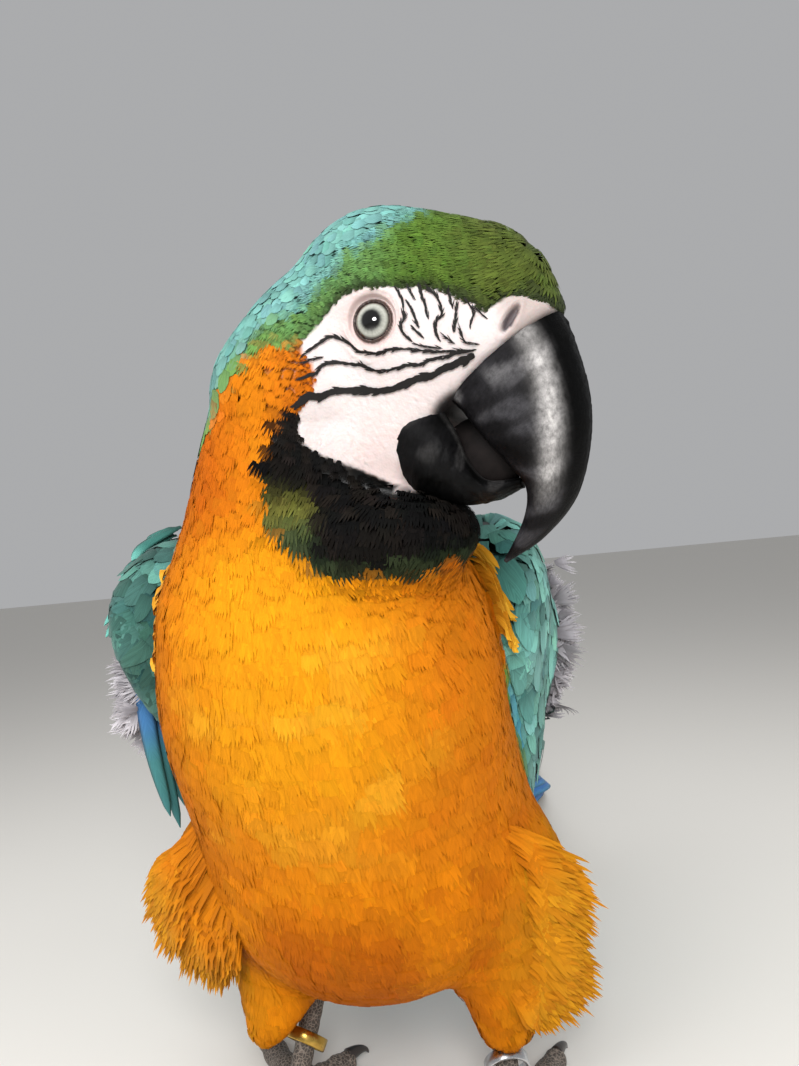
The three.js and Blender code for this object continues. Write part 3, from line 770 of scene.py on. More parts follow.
def face_relief(p):
    """Height of lids, folds, cere, nostrils and grain over the smooth skin of the face, in millimetres."""
    q = HEAD.local(p)
    f, u, s = q[:, 0], q[:, 2], np.abs(q[:, 1])
    bare = smooth(0.5, -1.5, off_face(p))
    side = smooth(9, 14, s)
    r = eye_distance(q)
    turn = np.degrees(np.arctan2(u, f))
    height = np.zeros(len(p))
    # lid: a fleshy ring, thinner in front, with a step down to the skin round it
    lid = smooth(6.7, 6.1, r) * smooth(LID_OPENING - 0.15, LID_OPENING + 0.15, r)
    height -= 0.3 * np.exp(-((r - 7.9) / 0.6) ** 2) * side
    # soft folds that run round the eye
    for k, (radius, size) in enumerate(((9.2, 0.3), (11.2, 0.24), (13.4, 0.16))):
        broken = smooth(-0.4, 0.5, np.sin(np.radians(turn * (2 + k) + 70 * k)))
        fold = np.exp(-((r - radius - 0.5 * np.sin(np.radians(3 * turn + 50 * k))) / 0.5) ** 2)
        height += size * broken * fold * side
    # grain: fine bumps, coarser low on the cheek
    low = smooth(-14, -30, u)
    height += bare * (0.05 * wobble(p, 1.6, 5) + (0.07 + 0.12 * low) * np.abs(wobble(p, 2.1, 6)))
    # cere: smooth and full, with a slanted nostril
    cere = smooth(30, 35, f + 0.35 * u) * bare
    height += 0.5 * cere
    along = unit(np.array([6.0, 8.4]))
    g = np.stack([f - NOSTRIL[0], u - NOSTRIL[1]], -1)
    a, b = g @ along, g @ np.array([along[1], -along[0]])
    hole = smooth(1.05, 0.6, np.hypot(a / 4.8, b / 1.5))
    rim = np.exp(-((np.hypot(a / 4.8, b / 1.5) - 1.3) / 0.22) ** 2)
    height += (0.35 * rim - 2.2 * hole) * side * (q[:, 0] > 30)
    # gape: knobbly skin at the corner of the mouth
    gape = smooth(1.25, 0.8, np.hypot((f - 20.5 - 0.5 * (u + 28)) / 6.5, (u + 28) / 5.5)) * side
    height += gape * 0.5 * wobble(p, 3.0, 8)
    return height, hole * side, gape * bare, lid * side


def skin_level(p):
    """Level of the body's field on which the skin lies, with sockets behind the eyeballs."""
    relief, _, _, _ = face_relief(p)
    return relief * smooth(0.0, -2.5, (p - BILL_ROOT[0]) @ unit(BILL_ROOT[1])) - coat_depth(p)


def close_lids(p):
    """Brings the skin round each eye onto the eyeball, with a rounded lid and a socket behind it."""
    q = HEAD.local(p)
    r = eye_distance(q)
    near = smooth(7.9, 6.3, r) * (np.abs(q[:, 1]) > 10)
    rim = np.sqrt(np.maximum(1 - ((r - LID_OPENING - 0.42) / 0.5) ** 2, 0))
    ball = np.sqrt(np.maximum(EYE_RADIUS ** 2 - np.minimum(r, 7.5) ** 2, 0)) + EYE_OUT
    across = ball + 0.12 + 0.42 * rim - 4.0 * smooth(LID_OPENING, LID_OPENING - 0.35, r)
    q[:, 1] += (np.sign(q[:, 1]) * across - q[:, 1]) * near
    return HEAD.world(q)


def skin_colours(p):
    """Markings of the coat under the feathers, and the bare skin of the face."""
    q = HEAD.local(p)
    f, u = q[:, 0], q[:, 2]
    _, hole, gape, lid = face_relief(p)
    colour = markings(p) * SKIN_TONE
    r = eye_distance(q)
    white, pink, shade = chosen("face"), linear("#c09f99"), linear("#a99f9c")
    tone = 0.5 + 0.5 * wobble(p, 11, 12)
    skin = mixed(white, pink, 0.16 * tone + 0.4 * smooth(11.5, 6.6, r) + 0.22 * smooth(-14, -6, f)
                 * smooth(-20, -34, u))
    skin = mixed(skin, shade, 0.35 * smooth(0.1, 0.9, wobble(p, 2.4, 14)) * smooth(-14, -26, u))
    # painted shade: the cere is greyed and darkened as it lies in shade
    skin = mixed(skin, linear("#94857f"), 0.7 * smooth(31, 39, f + 0.3 * u))
    # painted shade: the nostril's hollow is darkened
    skin = mixed(skin, linear("#574d4f"), hole)
    skin = mixed(skin, linear("#1b1718"), gape * 0.96)
    skin = mixed(skin, linear("#3a2a24"), smooth(0.3, 0.75, lid))
    # painted shadow: the skin inside the mouth, behind the bill's edges, is near-black
    mouth = smooth(18.5, 16.5, np.abs(q[:, 1])) * smooth(13, 16, f)
    mouth = mouth * smooth(-24, -26, u - 0.7 * (f - 18)) * smooth(-52, -48, u)
    skin = mixed(skin, linear("#1b1718"), mouth)
    skin = mixed(skin, linear("#14100e"),
                 smooth(LID_OPENING + 0.1, LID_OPENING - 0.1, r) * (np.abs(q[:, 1]) > 10))
    return mixed(skin, colour, smooth(-0.5, 0.7, off_face(p) + 0.3 * wobble(p, 2.5, 15)))


def build_skin():
    grid = Grid(whole_form, BODY_LOW, BODY_HIGH, SKIN_CELL)
    made_so_far["grid"] = grid
    shape = bmesh.new()
    rough = to_mesh("skin_rough", *surface_net(grid, -3.0))
    shape.from_mesh(rough.data)
    bpy.data.objects.remove(rough)

    def refine(near):
        """Cuts the faces in four wherever near() holds, given places in the head's frame and off the face."""
        p = np.array([v.co for v in shape.verts]) / MM
        ids = near(HEAD.local(p), off_face(p))
        edges = [e for e in shape.edges if ids[e.verts[0].index] and ids[e.verts[1].index]]
        bmesh.ops.subdivide_edges(shape, edges=edges, cuts=1, use_grid_fill=True)
        shape.verts.index_update()

    shape.verts.index_update()
    refine(lambda q, off: (off < 4) & (q[:, 0] > -34))
    refine(lambda q, off: (off < 1.2) & (q[:, 0] > -32) & (q[:, 2] > -56))
    refine(lambda q, off: ((eye_distance(q) < 9) & (np.abs(q[:, 1]) > 8))
           | (np.hypot(q[:, 0] - NOSTRIL[0], q[:, 2] - NOSTRIL[1]) < 6))
    bmesh.ops.triangulate(shape, faces=[f for f in shape.faces if len(f.verts) > 4])
    mesh = bpy.data.meshes.new("skin")
    shape.to_mesh(mesh)
    shape.free()
    piece = placed("skin", mesh)
    p = points_of(mesh)
    on_head = np.linalg.norm(HEAD.local(p) - (0, 0, -14), axis=-1) < 62
    p = drawn_exactly(whole_form, p, lambda x: -coat_depth(x), 2)
    p[on_head] = close_lids(drawn_exactly(whole_form, p[on_head], skin_level, 2))
    put_points(mesh, p)
    mesh.update()
    # ease the cheek, where the forms of the head meet in a hollow
    shape = bmesh.new()
    shape.from_mesh(mesh)
    shape.verts.ensure_lookup_table()
    q = HEAD.local(p)
    hollow = np.flatnonzero((np.hypot(q[:, 0] + 17, q[:, 2] + 26) < 7) & (off_face(p) < 0.5))
    for _ in range(8):
        bmesh.ops.smooth_vert(shape, verts=[shape.verts[k] for k in hollow], factor=0.5,
                              use_axis_x=True, use_axis_y=True, use_axis_z=True)
    shape.to_mesh(mesh)
    shape.free()
    p = points_of(mesh)
    shade_smooth(mesh)
    paint(piece, skin_colours(p))
    lay_map(piece, "OFBake", unwrapped(p, grid.normal(p)))
    made, tree, shader = material(
        "Bare skin and feather bases", Roughness=0.5, Subsurface_Weight=0.12, Subsurface_Scale=0.004)
    coloured(tree, shader, painted(tree, "plumage"))
    # pores about 0.7 mm apart
    place = node(tree, "ShaderNodeTexCoord").outputs["Object"]
    pores = node(tree, "ShaderNodeTexVoronoi", {"Vector": place, "Scale": 1400.0})
    bumped(tree, shader, pores.outputs[0], 0.25, 0.0003)
    finished(piece, "head_feathers", made, nodes=FLESH)
    made_so_far["skin"] = piece
    mark_zones()


# ---------- coat: feathers set over the skin and laid along it ----------
class Shape:
    """A feather along +X from its root, one unit long and one wide, with its strand number at each point."""

    def __init__(self, points, faces, strand):
        self.points, self.faces, self.strand = np.array(points, float), faces, np.array(strand)
        self.along, self.across = self.points[:, 0], self.points[:, 1] * 2


def tuft_shape(strands, rows=(0.0, 0.36, 0.72), widths=(0.11, 0.1, 0.06), fan=0.6, seed=1):
    """A soft tuft: strands side by side that part from each other, each tapering to a point."""
    luck = np.random.default_rng(seed)
    points, quads, tris, strand = [], [], [], []
    for k in range(strands):
        place = k / (strands - 1) - 0.5
        reach = luck.uniform(0.8, 1.0) * (1 - 0.35 * abs(place))
        bow = luck.uniform(-0.05, 0.05)
        first = len(points)
        for row, wide in zip(rows, widths):
            y = place * (1 - fan + fan * row * 1.25) + bow * row ** 2
            lift = 0.02 * ((k * 3) % 4) * row
            points += [(row * reach, y - wide, lift), (row * reach, y + wide, lift)]
        points.append((reach, place * 1.05 + bow * 1.6, 0.03 * ((k * 3) % 4)))
        for r in range(len(rows) - 1):
            i = first + 2 * r
            quads.append((i, i + 2, i + 3, i + 1))
        tris.append((first + 2 * len(rows) - 2, first + 2 * len(rows), first + 2 * len(rows) - 1))
        strand += [k] * (2 * len(rows) + 1)
    return Shape(points, [np.array(quads), np.array(tris)], strand)


def vane_shape(rows, half_widths, columns=3, arch=0.12):
    """A single rounded feather: a sheet with a shaft line, arched across, and its tip drawn in."""
    rows, half_widths = np.array(rows, float), np.array(half_widths, float)
    sides = np.linspace(-1, 1, columns)
    y = half_widths[:, None] * sides[None]
    x = rows[:, None] + 0 * y
    z = -arch * (y * 2) ** 2
    points = np.stack([x, y, z], -1).reshape(-1, 3)
    i = np.arange(len(rows) - 1)[:, None] * columns + np.arange(columns - 1)[None]
    quads = np.stack([i, i + columns, i + columns + 1, i + 1], -1).reshape(-1, 4)
    return Shape(points, [quads], np.zeros(len(points), int))


def feather_tree(material):
    """Geometry nodes that set a feather on each of many spread places of a surface, turned to its lie."""
    tree = bpy.data.node_groups.new("Set feathers over skin", "GeometryNodeTree")
    face = tree.interface
    face.new_socket("Geometry", in_out="OUTPUT", socket_type="NodeSocketGeometry")
    sockets = {}
    for label, kind, value in (
        ("Geometry", "Geometry", None), ("Feather", "Object", None), ("Zone", "String", ""),
        ("Spacing", "Float", 0.003),
        ("Width share", "Float", 0.5), ("Untidiness", "Float", 0.15), ("Length share", "Float", 1.0),
        ("Seed", "Int", SEED),
    ):
        made = face.new_socket(label, in_out="INPUT", socket_type="NodeSocket" + kind)
        if value is not None:
            made.default_value = value
        sockets[label] = made.identifier
    given = node(tree, "NodeGroupInput").outputs

    def kept(name, kind):
        return node(tree, "GeometryNodeInputNamedAttribute", {"Name": name},
                    data_type=kind).outputs["Attribute"]

    crowd = maths(tree, "DIVIDE", 2.6, maths(tree, "POWER", given["Spacing"], 2.0))
    spread = node(tree, "GeometryNodeDistributePointsOnFaces",
                  {"Mesh": given["Geometry"], "Distance Min": given["Spacing"], "Density Max": crowd,
                   "Density Factor": kept(given["Zone"], "FLOAT"), "Seed": given["Seed"]},
                  distribute_method="POISSON").outputs
    low, high = (scaled(tree, (k, k, k), given["Untidiness"]) for k in (-1.0, 1.0))
    stray = node(tree, "FunctionNodeRandomValue", {0: low, 1: high, "Seed": given["Seed"]},
                 data_type="FLOAT_VECTOR")
    aim = node(tree, "ShaderNodeVectorMath", {0: kept("lie", "FLOAT_VECTOR"), 1: stray.outputs[0]},
               operation="ADD")
    turned = node(tree, "FunctionNodeAxesToRotation", {0: spread["Normal"], 1: aim.outputs[0]},
                  primary_axis="Z", secondary_axis="X").outputs[0]
    vary = node(tree, "FunctionNodeRandomValue", {2: 0.8, 3: 1.15, "Seed": 5}, data_type="FLOAT").outputs[1]
    usual = maths(tree, "MULTIPLY", kept("feather_length", "FLOAT"), given["Length share"])
    long = maths(tree, "MULTIPLY", usual, vary)
    wide = maths(tree, "MULTIPLY", long, given["Width share"])
    size = node(tree, "ShaderNodeCombineXYZ", {0: long, 1: wide, 2: long}).outputs[0]
    feather = node(tree, "GeometryNodeObjectInfo", {"Object": given["Feather"]}).outputs["Geometry"]
    grown = node(tree, "GeometryNodeInstanceOnPoints",
                 {"Points": spread["Points"], "Instance": feather, "Rotation": turned,
                  "Scale": size}).outputs[0]
    real = node(tree, "GeometryNodeRealizeInstances", {0: grown}).outputs[0]
    dressed = node(tree, "GeometryNodeSetMaterial", {"Geometry": real, "Material": material}).outputs[0]
    node(tree, "NodeGroupOutput", {0: dressed})
    return tree, sockets


def set_feathers(name, ground, shape, zone, spacing, width_share, untidiness, length_share, material, seed):
    """Feathers as one plain mesh: its object, and its points as (feather, point, xyz) in millimetres."""
    pattern = to_mesh("feather_pattern", shape.points / MM, shape.faces)
    tree, sockets = feather_tree(material)
    ground_copy = placed("ground", ground.data)
    step = ground_copy.modifiers.new("Feathers", "NODES")
    step.node_group = tree
    for label, value in (("Feather", pattern), ("Zone", zone), ("Spacing", spacing * MM),
                         ("Width share", width_share),
                         ("Untidiness", untidiness), ("Length share", length_share), ("Seed", seed)):
        step[sockets[label]] = value
    seen = ground_copy.evaluated_get(bpy.context.evaluated_depsgraph_get())
    mesh = bpy.data.meshes.new_from_object(seen)
    mesh.name = name
    # the spread places carry the skin's own layers along; the feathers get theirs afresh
    wanted = ("material_index", "sharp_face")
    for layer in [a.name for a in mesh.attributes
                  if not (a.is_required or a.is_internal or a.name in wanted)]:
        mesh.attributes.remove(mesh.attributes[layer])
    ground_copy.modifiers.clear()
    bpy.data.objects.remove(ground_copy)
    bpy.data.objects.remove(pattern)
    return placed(name, mesh), points_of(mesh).reshape(-1, len(shape.points), 3)


def lay_coat(name, zone, shape, spacing, width_share, slot, material, untidiness=0.16, fluff=0.3, stand=0.0,
             free=0.0, base_shade=0.66, tip_shade=1.06, variety=0.09, hue=0.03, soft=0.75, length_share=1.0,
             colour=None, seed=1):
    """A coat over the body: roots on the skin, tips near the outer form, colours by the markings."""
    grid, skin = made_so_far["grid"], made_so_far["skin"]
    piece, p = set_feathers(name, skin, shape, zone, spacing, width_share, untidiness, length_share,
                            material, seed)
    luck = np.random.default_rng(SEED + seed)
    count, each = p.shape[:2]
    root = p[:, 0] * 0.5 + p[:, 1] * 0.5
    along = np.clip(shape.along, 0, 1)
    strands = shape.strand.max() + 1
    # each strand keeps its own reach
    reach = luck.uniform(0.82, 1.12, (count, strands))[:, shape.strand]
    p = root[:, None] + (p - root[:, None]) * (1 + (reach - 1) * along)[..., None]
    straight = p.copy()
    depth = coat_depth(root)
    top = luck.uniform(-0.14, 0.06, count) * depth + fluff * luck.uniform(0, 1, count)
    rise = smooth(0.0, 0.3, along)[None]
    level = -depth[:, None] * (1 - rise) + top[:, None] * rise + stand * along[None] ** 3
    level = level + 0.35 * shape.points[:, 2][None] * depth[:, None]
    laid = grid.drawn(p.reshape(-1, 3), level.ravel(), 3).reshape(p.shape)
    if free:
        loose = free * smooth(0.35, 1.0, along)[None, :, None]
        laid = laid + (straight - laid) * loose
    put_points(piece.data, laid.reshape(-1, 3))
    # colour: one for each feather, with painted shade that darkens its base under the neighbours and painted
    # light on its tip, its strands a little different
    tip = laid[:, np.argmax(along)]
    mark = COAT_TONE * markings(tip * 0.7 + root * 0.3) if colour is None else colour(root, tip)
    own_tone, strand_tone = luck.normal(0, 0.5, (count, 1)), luck.normal(0, 0.6, (count, strands))
    tone = 1 + variety * own_tone + variety * strand_tone[:, shape.strand]
    # painted shade and light along each feather, from base_shade at the root to tip_shade at the tip
    shade = tone * (base_shade + (tip_shade - base_shade) * smooth(0.05, 0.75, along))[None]
    tint = 1 + hue * luck.normal(0, 1, (count, 1, 3))
    paint(piece, (mark[:, None] * shade[..., None] * tint).reshape(-1, 3))
    # maps: the bake's patch at each root, and the vane's own across and along
    corner = np.stack([shape.along, shape.across], -1) * BAKE_PATCH
    places = unwrapped(root, grid.normal(root))[:, None] + corner[None]
    lay_map(piece, "OFBake", places.reshape(-1, 2))
    lengthwise = np.tile(shape.along, count) + np.repeat(luck.integers(0, 50, count), each)
    vane = np.stack([np.tile(shape.across, count), lengthwise], -1)
    lay_map(piece, "Vane", vane)
    shade_smooth(piece.data)
    if soft:
        piece.data.update()
        own = normals_of(piece.data)
        out = grid.normal(laid.reshape(-1, 3))
        own *= np.sign((own * out).sum(-1, keepdims=True) + 1e-9)
        soften(piece, out * soft + own * (1 - soft))
    return finished(piece, slot, material)


def normals_of(mesh):
    values = np.empty(len(mesh.vertices) * 3, np.float32)
    mesh.vertices.foreach_get("normal", values)
    return values.reshape(-1, 3)


def lie_of(p, n):
    """The way that feathers point: back over the head, down the neck and breast, back along the tail."""
    q, t = HEAD.local(p), TRUNK.local(p)
    head = mixed(HEAD.way(-1, 0, -0.1), HEAD.way(-0.35, 0, -1), smooth(2, -42, q[:, 2]))
    head = mixed(head, HEAD.way(-0.5, 0, -1), smooth(-12, -34, q[:, 0]))
    out = np.sign(t[:, 1] + 6)[:, None] * TRUNK.way(0, 1, 0)
    body = TRUNK.way(-0.3, 0, -1) + 0.12 * out * smooth(0, 40, np.abs(t[:, 1]))[:, None]
    body = body + out * (0.4 * smooth(42, 72, np.abs(t[:, 1])) * smooth(122, 96, t[:, 2]))[:, None]
    body = mixed(body, TRUNK.way(-1, 0, -0.45), smooth(-70, -105, t[:, 0]))
    body = mixed(body, TRUNK.way(-0.8, 0, -0.9), smooth(20, -30, t[:, 0]) * smooth(90, 130, t[:, 2]))
    way = mixed(head, body, smooth(38, 84, np.linalg.norm(q + (8, 0, 10), axis=-1)))
    for side, outward in SIDES:
        w = WING[side].local(p)
        wing = mixed(WING[side].way(-0.8, 0, -0.62), WING[side].way(-0.3, 0.1 * outward, -1),
                     smooth(-30, 5, w[:, 0]) * 0.8)
        if side == "right":
            wing = mixed(wing, (-0.6, 0.2, -0.75), smooth(-20, 6, w[:, 0]) * smooth(-5, 40, w[:, 2]))
        way = mixed(way, wing, on_wing(p) * smooth(4, 0, wing_forms[side](p)))
    way = way - n * (way * n).sum(-1, keepdims=True)
    return unit(way)


def feather_length(p):
    """Length of the feathers at each place in millimetres."""
    q, t = HEAD.local(p), TRUNK.local(p)
    away = np.linalg.norm(q + (4, 0, 2), axis=-1)
    length = 4.6 + 4.0 * smooth(30, 55, away) + 5.5 * smooth(55, 120, away)
    length = length * (0.55 + 0.45 * smooth(0, 8, off_face(p)))
    return np.where(t[:, 2] < 70, np.minimum(length, 7 + 8 * smooth(32, 70, t[:, 2])), length)


def keep(mesh, name, kind, values):
    layer = mesh.attributes.new(name, kind, "POINT")
    layer.data.foreach_set("vector" if kind == "FLOAT_VECTOR" else "value",
                           np.asarray(values, np.float32).ravel())


def mark_zones():
    """Writes on the skin where each coat grows, which way it lies and how long it is."""
    mesh, grid = made_so_far["skin"].data, made_so_far["grid"]
    p = points_of(mesh)
    n = grid.normal(p)
    q, t = HEAD.local(p), TRUNK.local(p)
    off, wing = off_face(p), on_wing(p)
    bib = outside(q[:, [0, 2]], BIB_EDGE)
    behind_by = turquoise_side(p)
    d, side = near_line(q[:, [0, 2]], TURQUOISE_EDGE)
    crown = (d * side > -3) & (q[:, 2] > -8) & (q[:, 0] > -40)
    feathered = (off > 0.35) & (wing < 0.5)
    is_bib = feathered & (bib < 0.5) & ~crown
    is_green = feathered & ~is_bib & (crown | (behind_by > 2.5))
    is_orange = feathered & ~is_bib & ~is_green
    leg = legs_form(p) < np.minimum(body_form(p), head_form(p)) - 2
    keep(mesh, "lie", "FLOAT_VECTOR", lie_of(p, n))
    keep(mesh, "feather_length", "FLOAT", feather_length(p) * MM)
    height = t[:, 2]
    zones = {
        "crown": is_green & crown,
        "nape": is_green & ~crown & (height > 200),
        "back": is_green & ~crown & (height <= 200),
        "bib": is_bib,
        "neck": is_orange & (height > 215) & ~leg,
        "breast": is_orange & (height <= 215) & (height > 140) & ~leg,
        "belly": is_orange & (height <= 140) & ~leg,
        "legs": is_orange & leg | (feathered & leg & is_green),
        "wing": wing > 0.5,
    }
    for side, out in SIDES:
        w = WING[side].local(p)
        mine = (wing > 0.5) & (wing_forms[side](p) < 4) & ((n @ WING[side].axes[1]) * out > -0.3)
        zones["wing_outer_" + side] = mine | ((wing > 0.5) & (wing_forms[side](p) < 4) & (w[:, 0] > 8))
    zones["rim"] = (off > -0.2) & (off < 4.2) & (wing < 0.5) & (q[:, 2] > -40) & (q[:, 0] < 34)
    for name, where in zones.items():
        keep(mesh, name, "FLOAT", where)


SOFT_TUFT = tuft_shape(7, widths=(0.15, 0.13, 0.08))
PLUME = tuft_shape(10, rows=(0.0, 0.35, 0.7, 0.9), widths=(0.05, 0.09, 0.1, 0.055), fan=0.8, seed=4)
DOWN_TUFT = tuft_shape(9, rows=(0.0, 0.4, 0.75), widths=(0.1, 0.08, 0.04), fan=0.95, seed=5)
FINE_TUFT = tuft_shape(5, widths=(0.14, 0.12, 0.07), seed=2)
SCALE_FEATHER = vane_shape((0, 0.3, 0.6, 0.84, 1.0), (0.12, 0.36, 0.46, 0.34, 0.07), 3, arch=0.1)


def build_body_coat():
    soft = plumage_material("Soft contour feather", 5.0, 0.0001, shade=0.12, sheen=0.0)
    crisp = plumage_material("Small crown feather", 5.0, 0.0002, sheen=0.03)
    black = plumage_material("Velvety black feather", 5.0, 0.0002, sheen=0.0, roughness=0.9)
    lay_coat("coat_crown", "crown", FINE_TUFT, chosen_size("crown_spacing"), 0.62, "head_feathers", crisp,
             seed=1, fluff=0.2, variety=0.2, base_shade=0.74, tip_shade=1.1)
    lay_coat("coat_nape", "nape", SCALE_FEATHER, 1.75, 0.75, "head_feathers", crisp, seed=2, fluff=0.4,
             variety=0.16, base_shade=0.7, tip_shade=1.12, length_share=1.15)
    lay_coat("coat_back", "back", SCALE_FEATHER, 3.3, 0.75, "body_feathers", crisp, seed=3, fluff=0.5,
             variety=0.15, base_shade=0.6)
    lay_coat("coat_rim", "rim", FINE_TUFT, 0.95, 0.55, "head_feathers", crisp, seed=10, fluff=0.15,
             variety=0.16, length_share=0.9)
    lay_coat("coat_bib", "bib", FINE_TUFT, 1.9, 0.6, "head_feathers", black, seed=4, fluff=0.3, variety=0.2)
    apart = chosen_size("breast_spacing")
    soft_coats = (  # name, spacing, width share, length share, how free of the form, fluff
        ("neck", 0.95, 0.52, 1.0, 0.07, 0.2), ("breast", 1.0, 0.5, 1.0, 0.05, 0.2),
        ("belly", 1.0, 0.5, 1.05, 0.05, 0.2), ("legs", 1.04, 0.5, 1.1, 0.15, 0.6),
    )
    for k, (name, spacing, width_share, length_share, free, fluff) in enumerate(soft_coats):
        lay_coat("coat_" + name, name, SOFT_TUFT, spacing * apart, width_share, "body_feathers", soft,
                 seed=5 + k, free=free, fluff=fluff, length_share=length_share, base_shade=0.95,
                 tip_shade=1.01, variety=0.075, hue=0.02, soft=0.96)


# ---------- bare face: lines of small black feathers ----------
FACE_LINES = (  # thickness of the line, then its run from front to rear (forward, up)
    (0.9, (13.5, -10.9), (8.8, -9.7), (4.7, -9.3), (1.4, -9.6), (-2.8, -8.9), (-5.4, -7.8), (-7.7, -5.4),
     (-10.6, -3.4), (-13.2, -2.4), (-16, -3.6), (-20.8, -6.4)),
    (0.7, (28, -12.6), (23, -12.2), (18, -11.8), (13.5, -10.9)),
    (0.7, (-15.6, -8.2), (-18.2, -8.4), (-21, -9.2)),
    (0.95, (29, -12.7), (23.5, -12.9), (19.7, -13.7), (15.9, -13.9), (13, -14.8), (9.6, -14.4), (7, -14.7),
     (1.6, -14.9), (-2, -13.9), (-5, -12), (-9.6, -10.8), (-13.4, -10.1), (-16.1, -10.6), (-18, -12.8),
     (-21.6, -14)),
    (1.9, (28.3, -14.2), (25.4, -15), (22, -16), (18.7, -17), (15.2, -18.3), (11.4, -18.6), (8.3, -19.3),
     (3.9, -20.2), (-0.4, -20.2), (-4.5, -19.2), (-8.1, -18.9), (-14.2, -18.4), (-17, -19.6), (-20.4, -19.6),
     (-23.5, -21.2)),
)
LORE_LINES = (  # short strokes in front of the eye, each from its lower to its upper end
    (0.8, (11.8, -8.5), (9.6, -5.4), (9.1, -3), (10, -1.2), (10.3, 2.5), (9.2, 6.6)),
    (0.6, (13.8, 3.2), (12.4, 6.8)),
    (0.75, (14.3, -4.7), (13.2, -1.2), (12, 2.2)),
    (0.7, (15.2, -7.8), (12.8, -4.9)),
    (0.75, (16.8, -2.6), (16.5, 1.2), (15.9, 3.7), (15.4, 6.4)),
    (0.8, (19.8, -9.2), (18.8, -6.7), (19, -3.9), (20.8, -1.3), (20, 3.1), (18, 5.6)),
    (0.6, (23.8, -0.7), (23.2, 4)),
    (0.75, (23.5, -7.3), (24.1, -4.2), (25, 0.2)),
    (0.65, (27.9, -7), (28.8, -4.3), (29.3, -2), (28, 0.8)),
    (0.5, (20, -11.1), (16.4, -10.3), (12.7, -9.1)),
    (0.5, (23.8, -10.4), (20.9, -7.9)),
    (0.5, (30.1, -11.4), (26.2, -10), (25.2, -6.4)),
    (0.5, (33.2, -4.9), (30.8, -2.1)),
)


def on_side(forward, up, side, level):
    """Points of the head's side at given forward and up, where the body's field meets a level."""
    across = np.full(len(forward), 23.0 * side)
    for _ in range(5):
        here = HEAD.world(np.stack([forward, across, up], -1))
        there = HEAD.world(np.stack([forward, across + 0.1 * side, up], -1))
        now = whole_form(here)
        slope = np.maximum((whole_form(there) - now) / 0.1, 0.3)
        across = across - side * np.clip((now - level) / slope, -3, 3)
    return HEAD.world(np.stack([forward, across, up], -1))


def build_face_feathers():
    luck = np.random.default_rng(SEED + 40)
    flat, lift, sides, quads, tris = [], [], [], [], []
    for out in (1, -1):
        for thick, *run in FACE_LINES + LORE_LINES:
            run = np.array(run, float)
            reach = np.hypot(*np.diff(run, axis=0).T).sum()
            rows = 3 if thick > 1.5 else 2
            for place in np.repeat(np.arange(0.2, reach + 0.1, 0.42), rows):
                share = np.clip((place + luck.normal(0, 0.15)) / reach, 0, 1)
                root, ahead = catmull(run, [share, min(share + 0.02, 1.0)])
                way = unit(ahead - root if share < 0.98 else run[-1] - run[-2])
                away = np.array([-way[1], way[0]])
                long = luck.uniform(1.5, 2.6) * (0.8 + 0.25 * thick)
                wide = thick * luck.uniform(0.16, 0.26)
                root = root + away * luck.uniform(-0.32, 0.32) * thick
                turn = luck.normal(0, 0.16)
                way, away = way + away * turn, away - way * turn
                first = len(flat)
                for t, w, h in ((0, 0.5, 0.02), (0.35, 1.0, 0.3), (0.72, 0.75, 0.34)):
                    flat += [root + way * long * t - away * wide * w, root + way * long * t + away * wide * w]
                    lift += [h, h]
                flat.append(root + way * long)
                lift.append(0.3 + luck.uniform(0, 0.15))
                sides += [out] * 7
                quads += [(first, first + 2, first + 3, first + 1),
                          (first + 2, first + 4, first + 5, first + 3)]
                tris.append((first + 4, first + 6, first + 5))
    flat, sides = np.array(flat), np.array(sides)
    halves = [(*flat[sides == k].T, k, np.array(lift)[sides == k]) for k in (1, -1)]
    points = np.concatenate([on_side(*half) for half in halves])
    piece = to_mesh("face_feathers", points, [np.array(quads), np.array(tris)])
    soften(piece, made_so_far["grid"].normal(points))
    made, tree, shader = material("Small black feather", Roughness=0.6, Specular_IOR_Level=0.2)
    coloured(tree, shader, between(tree, noise(tree, 900.0), "#080707", "#1c1816"))
    finished(piece, "head_feathers", made)


